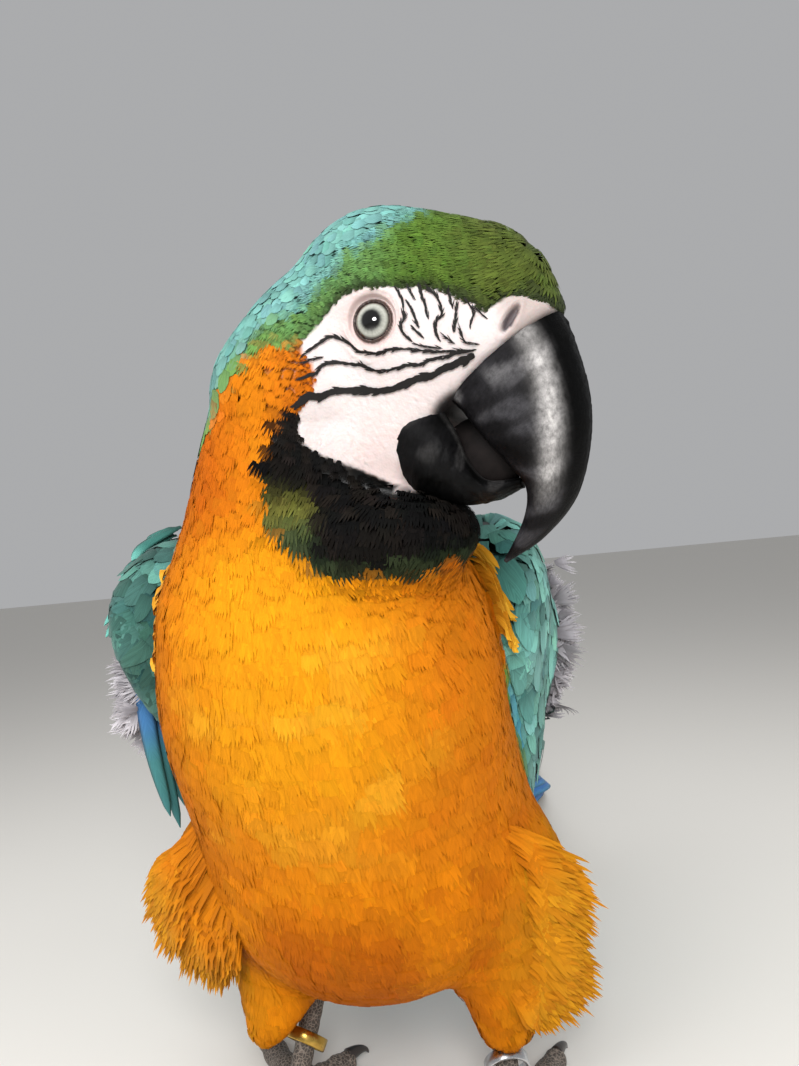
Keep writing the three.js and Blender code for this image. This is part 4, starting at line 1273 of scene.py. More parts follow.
# ---------- eyes ----------
def build_eyes():
    made, tree, shader = material("Moist eye", Roughness=0.06, Coat_Weight=1.0, Coat_Roughness=0.02, IOR=1.38)
    # the eye's map holds the angle round its axis and the distance from it, in centimetres
    eye_map = node(tree, "ShaderNodeUVMap", uv_map="Eye").outputs[0]
    split = node(tree, "ShaderNodeSeparateXYZ", {0: eye_map}).outputs
    spokes = node(tree, "ShaderNodeCombineXYZ", {
        0: maths(tree, "MULTIPLY", split[0], 38.0), 1: maths(tree, "MULTIPLY", split[1], 5.0)}).outputs[0]
    fibres = noise(tree, 1.0, spokes, Detail=2.0)
    bands = node(tree, "ShaderNodeValToRGB", {0: maths(tree, "MULTIPLY_ADD", fibres, 0.012, split[1])})
    ramp = bands.color_ramp
    stops = ((0.0, "#010101"), (0.25, "#020202"), (0.275, "#2a2b28"), (0.31, "#5f615b"), (0.35, "#8b8c84"),
             (0.42, None), (0.465, "#8d8e85"), (0.49, "#5a574f"), (0.515, "#2a221e"), (1.0, "#1a1411"))
    for place, code in stops[2:]:
        ramp.elements.new(place)
    for stop, (place, code) in zip(ramp.elements, stops):
        stop.position, stop.color = place, rgba(code) if code else (*chosen("iris"), 1.0)
    dim = ranged(tree, fibres, 0.3, 0.7, 0.82, 1.08)
    coloured(tree, shader, scaled(tree, bands.outputs[0], dim))
    rings, spans = 56, 72
    polar, around = np.linspace(0, math.pi, rings)[:, None], circle(spans)[None]
    for side, out in SIDES:
        r = EYE_RADIUS - 0.05
        away, front = np.sin(polar) * r, np.cos(polar) * r
        front = front + 0.25 * smooth(5.2, 0, away) * (front > 0)  # the clear front bulges a little
        q = np.stack([away * np.cos(around), out * (EYE_OUT + front + 0 * around), away * np.sin(around)], -1)
        q = q.reshape(-1, 3)
        ball = to_mesh("eyeball_" + side, HEAD.world(q), np.roll(woven(rings, spans), -1, 1)[:, ::out])
        # the pupil sits a little forward and up of the middle
        shifted = np.hypot(q[:, 0] - 0.3, q[:, 2] + 0.05)
        distance = np.where(shifted < 5.2, shifted, np.hypot(q[:, 0], q[:, 2]))
        distance = np.where(out * q[:, 1] > EYE_OUT, distance, 9.5)
        lay_map(ball, "Eye", np.stack([np.arctan2(q[:, 2], q[:, 0]) / 6.2832, distance / 10], -1))
        finished(ball, "eye", made, nodes=("eye_" + side,))


# ---------- bill ----------
BILL_PLANS = {  # ridge line, cutting edge (forward, up), half widths, sections, sides, hollow
    "upper": ([(34, 3), (49, 0), (55.5, -18), (56.5, -36), (51, -55), (40, -67), (27.5, -74)],
              [(12, -20), (20, -27), (26.5, -36.5), (33, -45.5), (36.8, -52), (34.8, -61), (26.8, -73)],
              [14, 16.5, 16, 13.5, 9.5, 5.5, 0.9], 110, 72, 0.85),
    "lower": ([(-8, -46), (0, -51.5), (9, -54.4), (18, -55.4), (27, -54.6), (35, -51.6)],
              [(6, -22), (14.5, -25.5), (19, -34), (21, -42), (25.5, -48.6), (35, -49)],
              [17, 18, 16.5, 13, 9, 3.4], 84, 64, 0.75),
}
# half a section from the ridge, down the wall to the cutting lip, and back up inside
FILLED_HALF = [(1, 0), (0.93, 0.34), (0.7, 0.68), (0.35, 0.93), (0, 1), (-0.38, 0.94), (-0.7, 0.75),
               (-0.9, 0.48), (-0.97, 0.25), (-1, 0)]
HOLLOW_HALF = [(1, 0), (0.93, 0.34), (0.7, 0.68), (0.35, 0.93), (0, 1), (-0.42, 0.97), (-0.84, 0.8),
               (-1, 0.63), (-0.62, 0.5), (-0.25, 0)]


def loft_bill(ridge, edge, half_widths, sections, sides, hollow, relief):
    """A half of the bill between its ridge line and cutting edge; returns its points, faces, t and turn."""
    t, turn = np.linspace(0, 1, sections), circle(sides)
    outer, inner = catmull(ridge, t), catmull(edge, t)
    width = catmull(np.array([(w, 0) for w in half_widths]), t)[:, 0]
    fold = np.where(turn <= math.pi, turn, 2 * math.pi - turn) / math.pi
    mirror = np.where(turn <= math.pi, 1, -1)
    closed, opened = catmull(FILLED_HALF, fold), catmull(HOLLOW_HALF, fold)
    share = (hollow * smooth(0.0, 0.08, t) * smooth(1.0, 0.84, t))[:, None]
    x = closed[None, :, 0] * (1 - share) + opened[None, :, 0] * share
    y = (closed[None, :, 1] * (1 - share) + opened[None, :, 1] * share) * mirror
    y = y * (1 - 0.16 * np.clip(x, -0.6, 1))
    middle, up = (outer + inner) / 2, (outer - inner) / 2
    f = middle[:, None, 0] + x * up[:, None, 0]
    u = middle[:, None, 1] + x * up[:, None, 1]
    q = np.stack([f, y * width[:, None], u], -1)
    # outward push of the growth lines and flakes
    centre = np.stack([middle[:, 0], 0 * t, middle[:, 1]], -1)[:, None]
    every_t, every_turn = np.repeat(t, sides), np.tile(turn, sections)
    push = relief(q.reshape(-1, 3), every_t, every_turn).reshape(sections, sides, 1)
    points, *faces = swept(q + unit(q - centre) * push)
    return points, faces, np.append(every_t, [0, 1]), np.append(every_turn, [0, 0])


def bill_material():
    """Keratin, worn and dry in places: near-black with grey flakes and fine growth lines, partly satin."""
    made, tree, shader = material("Worn keratin", Specular_IOR_Level=0.16, IOR=1.35)
    growth = node(tree, "ShaderNodeUVMap", uv_map="Growth").outputs[0]
    stretched = node(tree, "ShaderNodeMapping", {0: growth, 3: (3.0, 26.0, 1.0)}).outputs[0]
    flakes = noise(tree, 2.2, stretched, Detail=5.0, Roughness=0.65)
    lines = noise(tree, 9.0, growth, Detail=6.0, Roughness=0.7)
    coloured(tree, shader, scaled(tree, painted(tree, "keratin"), ranged(tree, lines, 0.35, 0.68, 0.55, 1.5)))
    tree.links.new(ranged(tree, lines, 0.3, 0.7, 0.28, 0.55), shader.inputs["Roughness"])
    bumped(tree, shader, maths(tree, "ADD", flakes, lines), 0.35, 0.0006)
    return made


def upper_relief(q, t, turn):
    low = 0.35 * np.abs(wobble(q, 5, 21)) * smooth(0.45, 0.0, t)
    fine = 0.12 * wobble(q * (1, 1, 2.2), 3.2, 22) * smooth(0.9, 0.3, t)
    return low + fine + 0.25 * smooth(0.9, 1.0, np.abs(np.sin(turn)))


def lower_relief(q, t, turn):
    return 0.3 * np.abs(wobble(q, 4.5, 23)) + 0.12 * wobble(q, 2.2, 24)


def upper_keratin(q, t, turn, flank, rough):
    """Near-black with grey flanks, a pale band down the front of the side that is partly worn keratin and
    partly a painted reflection, and a ridge painted black as shade.
    """
    ahead = q[:, 0] - 47.4 + 0.0085 * (q[:, 2] + 33) ** 2
    # painted reflection: the pale band down the front of the side is partly worn keratin and partly reflected
    # light
    band = np.exp(-(ahead / 2.9) ** 2) * smooth(0.2, 0.6, np.abs(np.sin(turn))) * smooth(-62, -44, q[:, 2])
    base = smooth(0.34, 0.1, t) * flank
    colour = mixed(linear("#090809"), linear("#252427"), 0.35 * flank * rough + 0.3 * base)
    colour = mixed(colour, linear("#3c3b3e"), 0.6 * flank * smooth(0.45, 0.9, rough))
    wear_and_reflection = 0.95 * band * (0.55 + 0.45 * rough) + 0.22 * base * smooth(0.55, 0.95, rough)
    colour = mixed(colour, chosen("bill_grey"), wear_and_reflection)
    # painted shade: the ridge and the front past the band go black where the bill turns away from the light
    ridge = np.maximum(smooth(0.75, 0.98, np.cos(turn)), smooth(2.5, 6.0, ahead))
    return mixed(colour, linear("#020202"), ridge)


def lower_keratin(q, t, turn, flank, rough):
    """Black, with a worn pale line along the cutting lip."""
    colour = mixed(linear("#050505"), linear("#252427"), 0.15 * rough * flank)
    colour = mixed(colour, chosen("bill_grey"), 0.04 * smooth(0.8, 1.0, rough))
    fold = np.minimum(turn, 2 * math.pi - turn) / math.pi
    return mixed(colour, chosen("bill_grey"),
                 0.4 * np.exp(-((fold - 0.76) / 0.03) ** 2) * (0.5 + 0.5 * rough))


def build_bill_half(half, relief, colours, keratin):
    q, faces, t, turn = loft_bill(*BILL_PLANS[half], relief)
    p = HEAD.world(q)
    if half == "upper":
        n = unit(BILL_ROOT[1])
        short = np.maximum(-0.6 - (p - BILL_ROOT[0]) @ n, 0)
        p = p + n * short[:, None]
    piece = to_mesh("bill_" + half, p, [face[:, ::-1] for face in faces])
    flank = smooth(0.35, 0.95, np.abs(np.sin(turn))) * (np.cos(turn) > -0.6)
    colour = colours(q, t, turn, flank, 0.5 + 0.5 * wobble(q, 9, 25))
    inside = np.abs(turn - math.pi) < 0.26 * math.pi
    paint(piece, mixed(colour, linear("#0b0a0a"), inside * 0.9), "keratin")
    lay_map(piece, "Growth", np.stack([turn / 6.2832 * 6, t * 4], -1))
    finished(piece, "bill", keratin, nodes=(half + "_bill",))


def build_mouth_shadow_lining():
    """Lining behind the tongue, painted near-black as the shadow inside the mouth."""
    shape = bmesh.new()
    bmesh.ops.create_uvsphere(shape, u_segments=48, v_segments=32, radius=1.0)
    mesh = bpy.data.meshes.new("mouth_lining")
    shape.to_mesh(mesh)
    shape.free()
    put_points(mesh, HEAD.world(points_of(mesh) * MM * (13.6, 8, 12) + (23.5, 0, -40.7)))
    shade_smooth(mesh)
    lining = turned_outward(placed("mouth_lining", mesh))
    made, tree, shader = material("Mouth lining in painted shadow", Roughness=0.7, Specular_IOR_Level=0.1)
    # painted shadow: near-black where the inside of the mouth lies in shade
    coloured(tree, shader, between(tree, noise(tree, 300.0), "#0b0909", "#1d1817"))
    finished(lining, "bill", made)


def build_tongue():
    """Tongue, blunt and dry, with a groove along the top."""
    polar, around = np.meshgrid(np.linspace(0.001, math.pi - 0.001, 36), circle(48), indexing="ij")
    ball = [np.cos(polar), np.sin(polar) * np.cos(around), np.sin(polar) * np.sin(around)]
    ball = np.stack(ball, -1).reshape(-1, 3)
    q = ball * (10.5, 6.0, 4.3) + (17.5, 0, -35.5)
    q[:, 2] -= 0.42 * (q[:, 0] - 16)
    q[:, 2] += 1.6 * smooth(0.2, 1.0, ball[:, 0]) - 0.9 * np.exp(-(q[:, 1] / 1.6) ** 2) * (ball[:, 2] > 0)
    q += ball * (0.35 * wobble(q, 2.6, 31))[:, None]
    piece = to_mesh("tongue_flesh", HEAD.world(q), woven(36, 48)[:, ::-1])
    made, tree, shader = material("Dry tongue", Roughness=0.42, Subsurface_Weight=0.1, Subsurface_Scale=0.002)
    mottle = noise(tree, 420.0, Detail=3.0)
    coloured(tree, shader, between(tree, mottle, "#2c2829", "#625a5a"))
    bumped(tree, shader, mottle, 0.5, 0.0005)
    finished(piece, "tongue", made, nodes=("tongue",))


def build_bill():
    keratin = bill_material()
    build_bill_half("upper", upper_relief, upper_keratin, keratin)
    build_bill_half("lower", lower_relief, lower_keratin, keratin)
    build_mouth_shadow_lining()
    build_tongue()


# ---------- wings, tail and down ----------
COVERT = vane_shape((0, 0.12, 0.3, 0.5, 0.68, 0.82, 0.93, 1.0),
                    (0.1, 0.3, 0.44, 0.5, 0.47, 0.38, 0.24, 0.04), 5, arch=0.05)
POINTED = vane_shape((0, 0.2, 0.45, 0.7, 0.88, 1.0), (0.14, 0.4, 0.5, 0.4, 0.2, 0.03), 5, arch=0.06)


def covert_colour(root, tip):
    """Teal with paler tips; bluer low down; darker high on the right wing, as painted shade."""
    height = TRUNK.local(root)[:, 2]
    tone = wobble(root, 14, 51)
    colour = mixed(chosen("wing"), linear("#3f7a74"), smooth(0.2, 1.0, tone))
    colour = mixed(colour, linear("#7cc0b3"), smooth(-0.1, -1.0, tone))
    colour = mixed(colour, linear("#3f86ab"), smooth(105, 60, height))
    in_shade = (TRUNK.local(root)[:, 1] < -6) * smooth(85, 165, height)
    return colour * (0.82 - 0.46 * in_shade)[:, None]


def build_wing_coverts():
    vane = plumage_material("Covert vane", 9.0, 0.0003, shade=0.28)
    lay_coat("coat_wing", "wing", SCALE_FEATHER, 3.0, 0.66, "wing_coverts", vane, seed=21, length_share=0.85,
             fluff=0.5, base_shade=0.62, variety=0.16, colour=covert_colour)
    for k, (side, _) in enumerate(SIDES):
        zone, apart = "wing_outer_" + side, chosen_size("covert_spacing")
        lay_coat("coverts_middle_" + side, zone, COVERT, apart, 0.46, "wing_coverts", vane, seed=22 + k,
                 length_share=1.05, fluff=0.7, stand=0.5, untidiness=0.14, base_shade=0.6, tip_shade=1.14,
                 variety=0.2, soft=0.7, free=0.06, colour=covert_colour)
        lay_coat("coverts_long_" + side, zone, COVERT, 9.0, 0.3, "wing_coverts", vane, seed=24 + k,
                 length_share=1.6, fluff=1.2, stand=0.7, untidiness=0.18, base_shade=0.55, tip_shade=1.16,
                 variety=0.22, soft=0.6, free=0.08, colour=covert_colour)


def feather_blade(line, half_width, across_way, thick, rows=26, columns=7, tip=6, root_share=0.5, taper=0.35,
                  curl=0.0):
    """Vane with a raised shaft, closed round its length: points, quads, (across, along), upper side and t."""
    t = np.linspace(0, 1, rows) ** 0.92
    middle = catmull(line, t)
    ahead = unit(np.gradient(middle, axis=0))
    across = np.broadcast_to(np.asarray(across_way, float), middle.shape)
    across = unit(across - ahead * (across * ahead).sum(-1, keepdims=True))
    up = np.cross(ahead, across)[:, None]
    wide = half_width * np.minimum(1, root_share + 2.2 * t) * np.sqrt(np.maximum(1 - t ** tip, 0.004))
    wide = (wide * (1 - taper * t))[:, None]
    s = np.linspace(-1, 1, columns)
    flat = middle[:, None] + across[:, None] * (wide * s)[..., None]
    shaft = 0.55 * np.exp(-(s / 0.16) ** 2)[None] * (1 - t)[:, None] ** 0.5
    bulge, cup = 0.5 * thick * (1 - s ** 2) ** 0.5, curl * s ** 2 * wide
    high = flat + up * (bulge + shaft + cup)[..., None]
    low = flat + up * (cup - bulge)[..., None]
    ring = np.concatenate([high, low[:, -2:0:-1]], 1)
    around = ring.shape[1]
    reach = np.linalg.norm(np.diff(middle, axis=0), axis=1).sum() / half_width / 2
    marks = np.stack([np.tile(np.concatenate([s, s[-2:0:-1]]), rows), np.repeat(t * reach, around)], -1)
    upper = np.tile(np.concatenate([np.ones(columns), np.zeros(columns - 2)]), rows)
    return ring.reshape(-1, 3), woven(rows, around), marks, upper, np.repeat(t, around)


def join_blades(name, blades, colour, slot, material, nodes):
    points, quads, marks, colours, start = [], [], [], [], 0
    for k, (p, q, mark, upper, t) in enumerate(blades):
        p = above(p, 0.25)
        points.append(p)
        quads.append(q + start)
        marks.append(mark + (0, 3 * k))
        colours.append(colour(k, p, mark, upper, t))
        start += len(p)
    piece = turned_outward(to_mesh(name, np.concatenate(points), np.concatenate(quads)))
    paint(piece, np.concatenate(colours))
    lay_map(piece, "Vane", np.concatenate(marks))
    return finished(piece, slot, material, nodes=nodes)


def flight_colour(k, p, mark, upper, t):
    """Deep blue above with a turquoise edge, and dull yellow beneath."""
    blue = mixed(linear("#2f62a6"), linear("#3f8db8"), smooth(0.5, 1.0, np.abs(mark[:, 0])))
    blue = mixed(blue, linear("#2a4f93"), smooth(0.6, 1.0, t))
    under = mixed(linear("#b58a2c"), linear("#8f7d3a"), smooth(0.3, 1.0, t))
    colour = mixed(under, blue, upper)
    shaft = np.abs(mark[:, 0]) < 0.12
    return mixed(colour, linear("#20222c"), shaft * 0.6) * (1 + 0.06 * math.sin(3 * k))


def splay_colour(k, p, mark, upper, t):
    """Teal that pales to a bright tip, with painted shade on the hidden base."""
    colour = mixed(linear("#24453f"), linear("#396c64"), smooth(0.1, 0.6, t))
    colour = mixed(colour, linear("#67ab9f"), smooth(0.62, 0.98, t))
    return colour * (1 + 0.22 * math.sin(7.3 * k) * math.cos(2.1 * k)) * (1 - 0.25 * (1 - upper))[:, None]


def hanging_colour(k, p, mark, upper, t):
    """Bright blue that turns teal at the tip."""
    return mixed(linear("#3f6f9f"), linear("#41797a"), smooth(0.5, 0.75, t)) * (1 + 0.1 * math.sin(5.1 * k))


SPLAY_ROOTS = [(6, 4, 80), (16, 4, 62), (24, 4, 40), (26, 5, 18)]
SPLAY_TIPS = [(46, -24, 60), (44, -24, 42), (41, -22, 24), (32, -18, 0)]
SPLAY_LAYERS, SPLAY_COUNT = 5, 14


def build_splayed_coverts(vane):
    """The coverts of the right wing, which stand out in a fan, and the feathers that hang below them."""
    wing = WING["right"]
    luck = np.random.default_rng(SEED + 50)
    facing = (1.0, 0.1, 0.0)
    blades = []
    for layer in range(SPLAY_LAYERS):
        for k in range(SPLAY_COUNT):
            s = k / (SPLAY_COUNT - 1) + luck.uniform(-0.03, 0.03)
            root = catmull(np.array(SPLAY_ROOTS, float), np.array([s]))[0]
            tip = catmull(np.array(SPLAY_TIPS, float), np.array([s]))[0]
            reach = (1 - 0.16 * layer + luck.uniform(-0.1, 0.05)) * (0.6 + 0.4 * smooth(0, 0.3, s))
            root = root + (0, -13 - 1.4 * layer + luck.uniform(-0.5, 0.5), 0)
            end = root + (tip - root) * reach + (0, luck.uniform(-1, 1), luck.uniform(-2, 2))
            bow = root * 0.5 + end * 0.5 + (2.5, 0, 3.5)
            line = wing.world(np.array([root, root * 0.55 + bow * 0.45, bow * 0.6 + end * 0.4, end]))
            wide = luck.uniform(2.2, 3.4)
            blades.append(feather_blade(line, wide, facing, 0.5, rows=14, columns=5, tip=5, taper=0.1,
                                        curl=-0.12))
    join_blades("coverts_splayed", blades, splay_colour, "wing_coverts", vane, ())
    blades = []
    for x, y, low in ((44, -10, -40), (40.5, -9, -46), (37, -8, -38), (33, -7, -44), (29, -5, -40),
                      (25, -4, -46)):
        places = [(x - 6, y + 4, 36), (x - 1, y, 14), (x, y, -12), (x - 2, y + 2, low)]
        line = wing.world(np.array(places, float))
        blades.append(feather_blade(line, 4.2, facing, 0.7, rows=18, columns=5, tip=5, taper=0.25, curl=-0.1))
    join_blades("coverts_hanging", blades, hanging_colour, "wing_coverts", vane, ())


def resampled(places, t, points):
    """Points of a line, known at t, at other places along it."""
    return np.stack([np.interp(places, t, column) for column in points.T], -1)


FLIGHT_COUNT = 11


def flight_blades(side, out):
    """The folded flight feathers of a wing, side by side along a spine from the wing to over the tail."""
    wing = WING[side]
    line = [wing.at(4, -3 * out, -32), wing.at(-70, -6 * out, -52), TRUNK.at(-190, 34 * out, 74),
            TRUNK.at(-318, 13 * out, 34)]
    t = np.linspace(0, 1, 60)
    spine = catmull(np.array(line), t)
    ahead = unit(np.gradient(spine, axis=0))
    tall = 42 * (1 - t) ** 0.7 * np.minimum(1, 0.5 + 2.5 * t) + 3
    rise = unit(np.stack([wing.way(0.3, -k * out, 1) for k in np.minimum(1.3, 2 * t)]))
    away = unit(np.cross(ahead, rise)) * out
    away *= np.sign((away * wing.way(0, out, 0)).sum(-1, keepdims=True) + 1e-6)
    blades = []
    for k in range(FLIGHT_COUNT):
        s = -0.86 + 1.72 * k / (FLIGHT_COUNT - 1)
        first = 0.03 + 0.1 * (k / FLIGHT_COUNT)
        last = np.interp(s, [-1, -0.35, 0.2, 1], [0.97, 0.99, 0.72, 0.5])
        row = spine + rise * (tall * s)[:, None] + away * (0.45 * k - 2.4) * 0.9
        run = resampled(np.linspace(first, last, 14), t, row)
        ways = resampled(np.linspace(first, last, 26), t, rise * out)
        wide = 4.5 + 0.138 * np.interp((first + last) / 2, t, tall)
        blades.append(feather_blade(run, wide, ways, 0.9, tip=9, taper=0.15))
    return blades


TAIL_ROOT, TAIL_LENGTH = -118, 440
TAIL_MIDDLE = (  # offset, length, fan, height and half width of each blade
    (-3.5, 428, -2, 2.6, 12.5), (3.0, 440, 1.5, 3.6, 13.5))
TAIL_SIDE = (  # offset, length, fan and height of each blade
    (3, 360, 12, -1), (6, 330, 14, -1.7), (8, 300, 16, -2.5), (11, 265, 18, -3.2), (13, 235, 20, -4))


def tail_line(offset, length, fan, height):
    short = TAIL_LENGTH - length
    return [TRUNK.at(TAIL_ROOT, offset * 0.5, 60 + height), TRUNK.at(-190, offset, 39 + height),
            TRUNK.at(TAIL_ROOT - length * 0.5, offset + fan * 0.4, 12 + 0.08 * short + height * 0.7),
            TRUNK.at(TAIL_ROOT - length * 0.75, offset + fan * 0.7, 4 + 0.05 * short + height * 0.5),
            TRUNK.at(TAIL_ROOT - length, offset + fan, 1.6 + height * 0.3)]


def build_flight_and_tail():
    vane = plumage_material("Stiff flight vane", 14.0, 0.0003, shade=0.22, roughness=0.45, sheen=0.05)
    for side, out in SIDES:
        join_blades("flight_feathers_" + side, flight_blades(side, out), flight_colour, "flight_feathers",
                    vane, ("flight_" + side,))
    build_splayed_coverts(vane)
    flat = TRUNK.way(0, -1, 0)
    middle = [feather_blade(tail_line(*plan), wide, flat, 1.2, rows=40, tip=7, curl=0.06)
              for *plan, wide in TAIL_MIDDLE]
    join_blades("tail_middle", middle, flight_colour, "flight_feathers", vane, ("tail_central",))
    for side, out in SIDES:
        lines = [tail_line(offset * out, length, fan * out, height)
                 for offset, length, fan, height in TAIL_SIDE]
        blades = [feather_blade(line, 14.5, flat, 1.1, rows=34, tip=7) for line in lines]
        join_blades("tail_side_" + side, blades, flight_colour, "flight_feathers", vane, ("tail_" + side,))


def lay_plumes(name, shape, roots, tips, widths, facing, bow, root_colour, tip_colour, material, over=None,
               seed=1):
    """Loose plumes, each from its root to its tip with a flat side outward; over keeps them on the body."""
    luck = np.random.default_rng(SEED + seed)
    count, each = len(roots), len(shape.points)
    along, across, lift = shape.points.T
    strands = shape.strand.max() + 1
    reach = luck.uniform(0.82, 1.08, (count, strands))[:, shape.strand]
    a = along[None] * reach
    ahead = unit(tips - roots)
    side = unit(np.cross(facing, ahead))
    arc = bow[:, None] * 4 * a * (1 - a)
    aside, raised = widths[:, None] * across[None], widths[:, None] * lift[None]
    p = roots[:, None] + (tips - roots)[:, None] * a[..., None] + facing[:, None] * arc[..., None]
    p += side[:, None] * aside[..., None] + np.cross(ahead, side)[:, None] * raised[..., None]
    p = p.reshape(-1, 3)
    if over is not None:
        grid = made_so_far["grid"]
        out_of = smooth(0.0, 0.3, np.tile(along, count))
        level = np.repeat(luck.uniform(*over, count), each) * out_of - 3.0 * (1 - out_of)
        for _ in range(3):
            value, slope = grid.look(p)
            lowest, highest = np.where(out_of < 1, -6, 0), 6
            p = p + unit(slope) * np.clip(level - value, lowest, highest)[:, None]
    faces = [np.concatenate([f + k * each for k in range(count)]) for f in shape.faces]
    piece = to_mesh(name, p, faces)
    own_tone, strand_tone = luck.normal(0, 0.7, (count, 1)), luck.normal(0, 1, (count, strands))
    tone = 1 + 0.09 * own_tone + 0.06 * strand_tone[:, shape.strand]
    share = smooth(0.1, 0.9, along)[None, :, None]
    colour = root_colour[:, None] * (1 - share) + tip_colour[:, None] * share
    # painted shade: each plume is darker towards its root, 0.72 of its colour at the root and 1.04 from its
    # middle on
    paint(piece, (colour * (tone * (0.72 + 0.32 * smooth(0.0, 0.5, along))[None])[..., None]).reshape(-1, 3))
    middle = roots.mean(0)
    corner = np.stack([along * 0.003, across * 0.002], -1)
    places = unwrapped(roots, unit(roots - middle))[:, None] + corner[None]
    lay_map(piece, "OFBake", places.reshape(-1, 2))
    lengthwise = np.tile(along, count) + np.repeat(luck.integers(0, 50, count), each)
    vane = np.stack([np.tile(across * 2, count), lengthwise], -1)
    lay_map(piece, "Vane", vane)
    piece.data.update()
    own = normals_of(piece.data)
    out = np.repeat(facing, each, axis=0)
    own *= np.sign((own * out).sum(-1, keepdims=True) + 1e-9)
    soften(piece, out * 0.6 + own * 0.4)
    return finished(piece, "body_feathers", material)


def build_flank_plumes():
    """Long soft feathers of the flanks and thighs that hang free of the legs in fans."""
    soft = plumage_material("Soft flank plume", 5.0, 0.0001, shade=0.14, sheen=0.03)
    fans = (  # side, roots, tips, count, width
        ("left_upper", [(34, 42, 120), (30, 45, 110), (25, 46, 101), (20, 46, 94)],
         [(2, 79, 84), (2, 84, 72), (4, 80, 63), (8, 70, 60)], 84, 10),
        ("left_lower", [(26, 48, 88), (24, 48, 78), (22, 46, 70), (20, 42, 62)],
         [(-3, 79, 52), (-4, 82, 39), (-1, 75, 31), (6, 62, 26)], 104, 10),
        ("right", [(44, -54, 124), (46, -54, 113), (48, -49, 102), (48, -43, 94)],
         [(27, -95, 82), (26, -94, 68), (24, -86, 54), (24, -72, 47), (26, -60, 52)], 150, 10.5),
    )
    for k, (name, root_line, tip_line, count, width) in enumerate(fans):
        luck = np.random.default_rng(SEED + 80 + k)
        s = luck.uniform(-0.02, 1.02, count).clip(0, 1)
        layer = np.sort(luck.uniform(0, 1, count))[::-1]
        root, tip = catmull(np.array(root_line, float), s), catmull(np.array(tip_line, float), s)
        start = root + (tip - root) * (0.42 * layer * luck.uniform(0.5, 1, count))[:, None]
        end = root + (tip - root) * (1 - 0.32 * layer + luck.uniform(-0.05, 0.05, count))[:, None]
        start[:, 0] += 4.0 * layer
        end[:, 0] += 4.0 * layer
        start, end = TRUNK.world(start), TRUNK.world(end)
        out = 1 if name.startswith("left") else -1
        facing = unit(np.array((1.0, 0.35 * out, 0.1)) + luck.normal(0, 0.12, (count, 3))) @ TRUNK.axes
        tone = luck.uniform(0, 1, count)
        widths = width * chosen_size("plume_width") / 10 * luck.uniform(0.8, 1.15, count)
        bow = luck.uniform(0.5, 2.5, count)
        tip_colour = mixed(linear("#bd8216"), linear("#ab6a10"), tone)
        lay_plumes("plumes_" + name, PLUME, start, end, widths, facing, bow, 0.9 * markings(start),
                   tip_colour, soft, over=(0.6, 2.6), seed=81 + k)


def build_down():
    """Loose grey down that shows at each shoulder."""
    made, tree, shader = material("Loose grey down", Roughness=0.9, Sheen_Weight=0.15, Sheen_Roughness=0.6,
                                  Specular_IOR_Level=0.05)
    cloud = ranged(tree, noise(tree, 160.0), 0.3, 0.7, 0.75, 1.1)
    coloured(tree, shader, scaled(tree, painted(tree, "plumage"), cloud))
    clumps = (
        ("left", (11, 15, 16), (3, 3, 11), (0.3, 0.9, -0.2), (10, 18), 640, 0.42),
        ("right", (31, -16, 10), (5, 2.5, 7), (-0.85, -0.15, -0.42), (8, 17), 380, 0.4),
    )
    for k, (side, centre, spread, ahead, reach, count, stray) in enumerate(clumps):
        luck = np.random.default_rng(SEED + 60 + k)
        wing = WING[side]
        roots = np.array([wing.at(*place)
                          for place in np.array(centre) + luck.normal(0, 1, (count, 3)) * spread])
        way = unit(np.array(ahead) + luck.normal(0, stray, (count, 3)))
        length = luck.uniform(*reach, count) * chosen_size("down_length") / 17
        facing = unit(np.array((0.0, -1.0, 0.15)) + luck.normal(0, 0.35, (count, 3)))
        tone = luck.uniform(0, 1, count)
        widths, bow = length * luck.uniform(0.5, 0.8, count), luck.normal(0, 1.2, count)
        root_colour = mixed(linear("#77747a"), linear("#8b878b"), tone)
        tip_colour = mixed(linear("#a19da1"), linear("#c2bec2"), tone)
        lay_plumes("down_" + side, DOWN_TUFT, roots, roots + way * length[:, None], widths, facing, bow,
                   root_colour, tip_colour, made, seed=61 + k)


def build_side_scallops():
    """Pointed yellow feathers where the breast meets the wings."""
    vane = plumage_material("Yellow breast-side vane", 9.0, 0.0003, shade=0.22)
    rows = (  # upper and lower end, the way of the tips, scallops, how far roots stray, their count
        ("left", (10, 39, 212), (11, 44, 186), (0, 15, -11), 3, (1.0, 2.6, 3.0), 96),
        ("right", (47, -58, 216), (41, -66, 180), (-2, -6, -8), 26, (1.0, 1.6, 1.0), 26),
    )
    for k, (side, upper, lower, way, scallops, stray, count) in enumerate(rows):
        luck = np.random.default_rng(SEED + 90 + k)
        share = np.round(np.linspace(0, 1, count) * (scallops - 1))[:, None] / (scallops - 1)
        middle = np.array(upper) * (1 - share) + np.array(lower) * share
        roots = middle + luck.normal(0, 1, (count, 3)) * stray
        reach, stray_tip = luck.uniform(0.75, 1.1, (count, 1)), luck.normal(0, 0.7, (count, 3))
        tips = middle + 0.45 * (roots - middle) + np.array(way) * reach + stray_tip
        turned = (1.0, 0.25 if side == "left" else -0.25, 0.2)
        facing = unit(np.array(turned) + luck.normal(0, 0.1, (count, 3))) @ TRUNK.axes
        tone = luck.uniform(0, 1, count)
        widths, bow = luck.uniform(5.0, 7.0, count), luck.uniform(0.4, 1.2, count)
        root_colour = mixed(linear("#c07c14"), linear("#b8720e"), tone)
        tip_colour = mixed(linear("#dba832"), linear("#c98f20"), tone)
        lay_plumes("breast_side_feathers_" + side, POINTED, TRUNK.world(roots), TRUNK.world(tips), widths,
                   facing, bow, root_colour, tip_colour, vane, over=(2.0, 4.0) if side == "left"
                   else (1.0, 2.6), seed=91 + k)


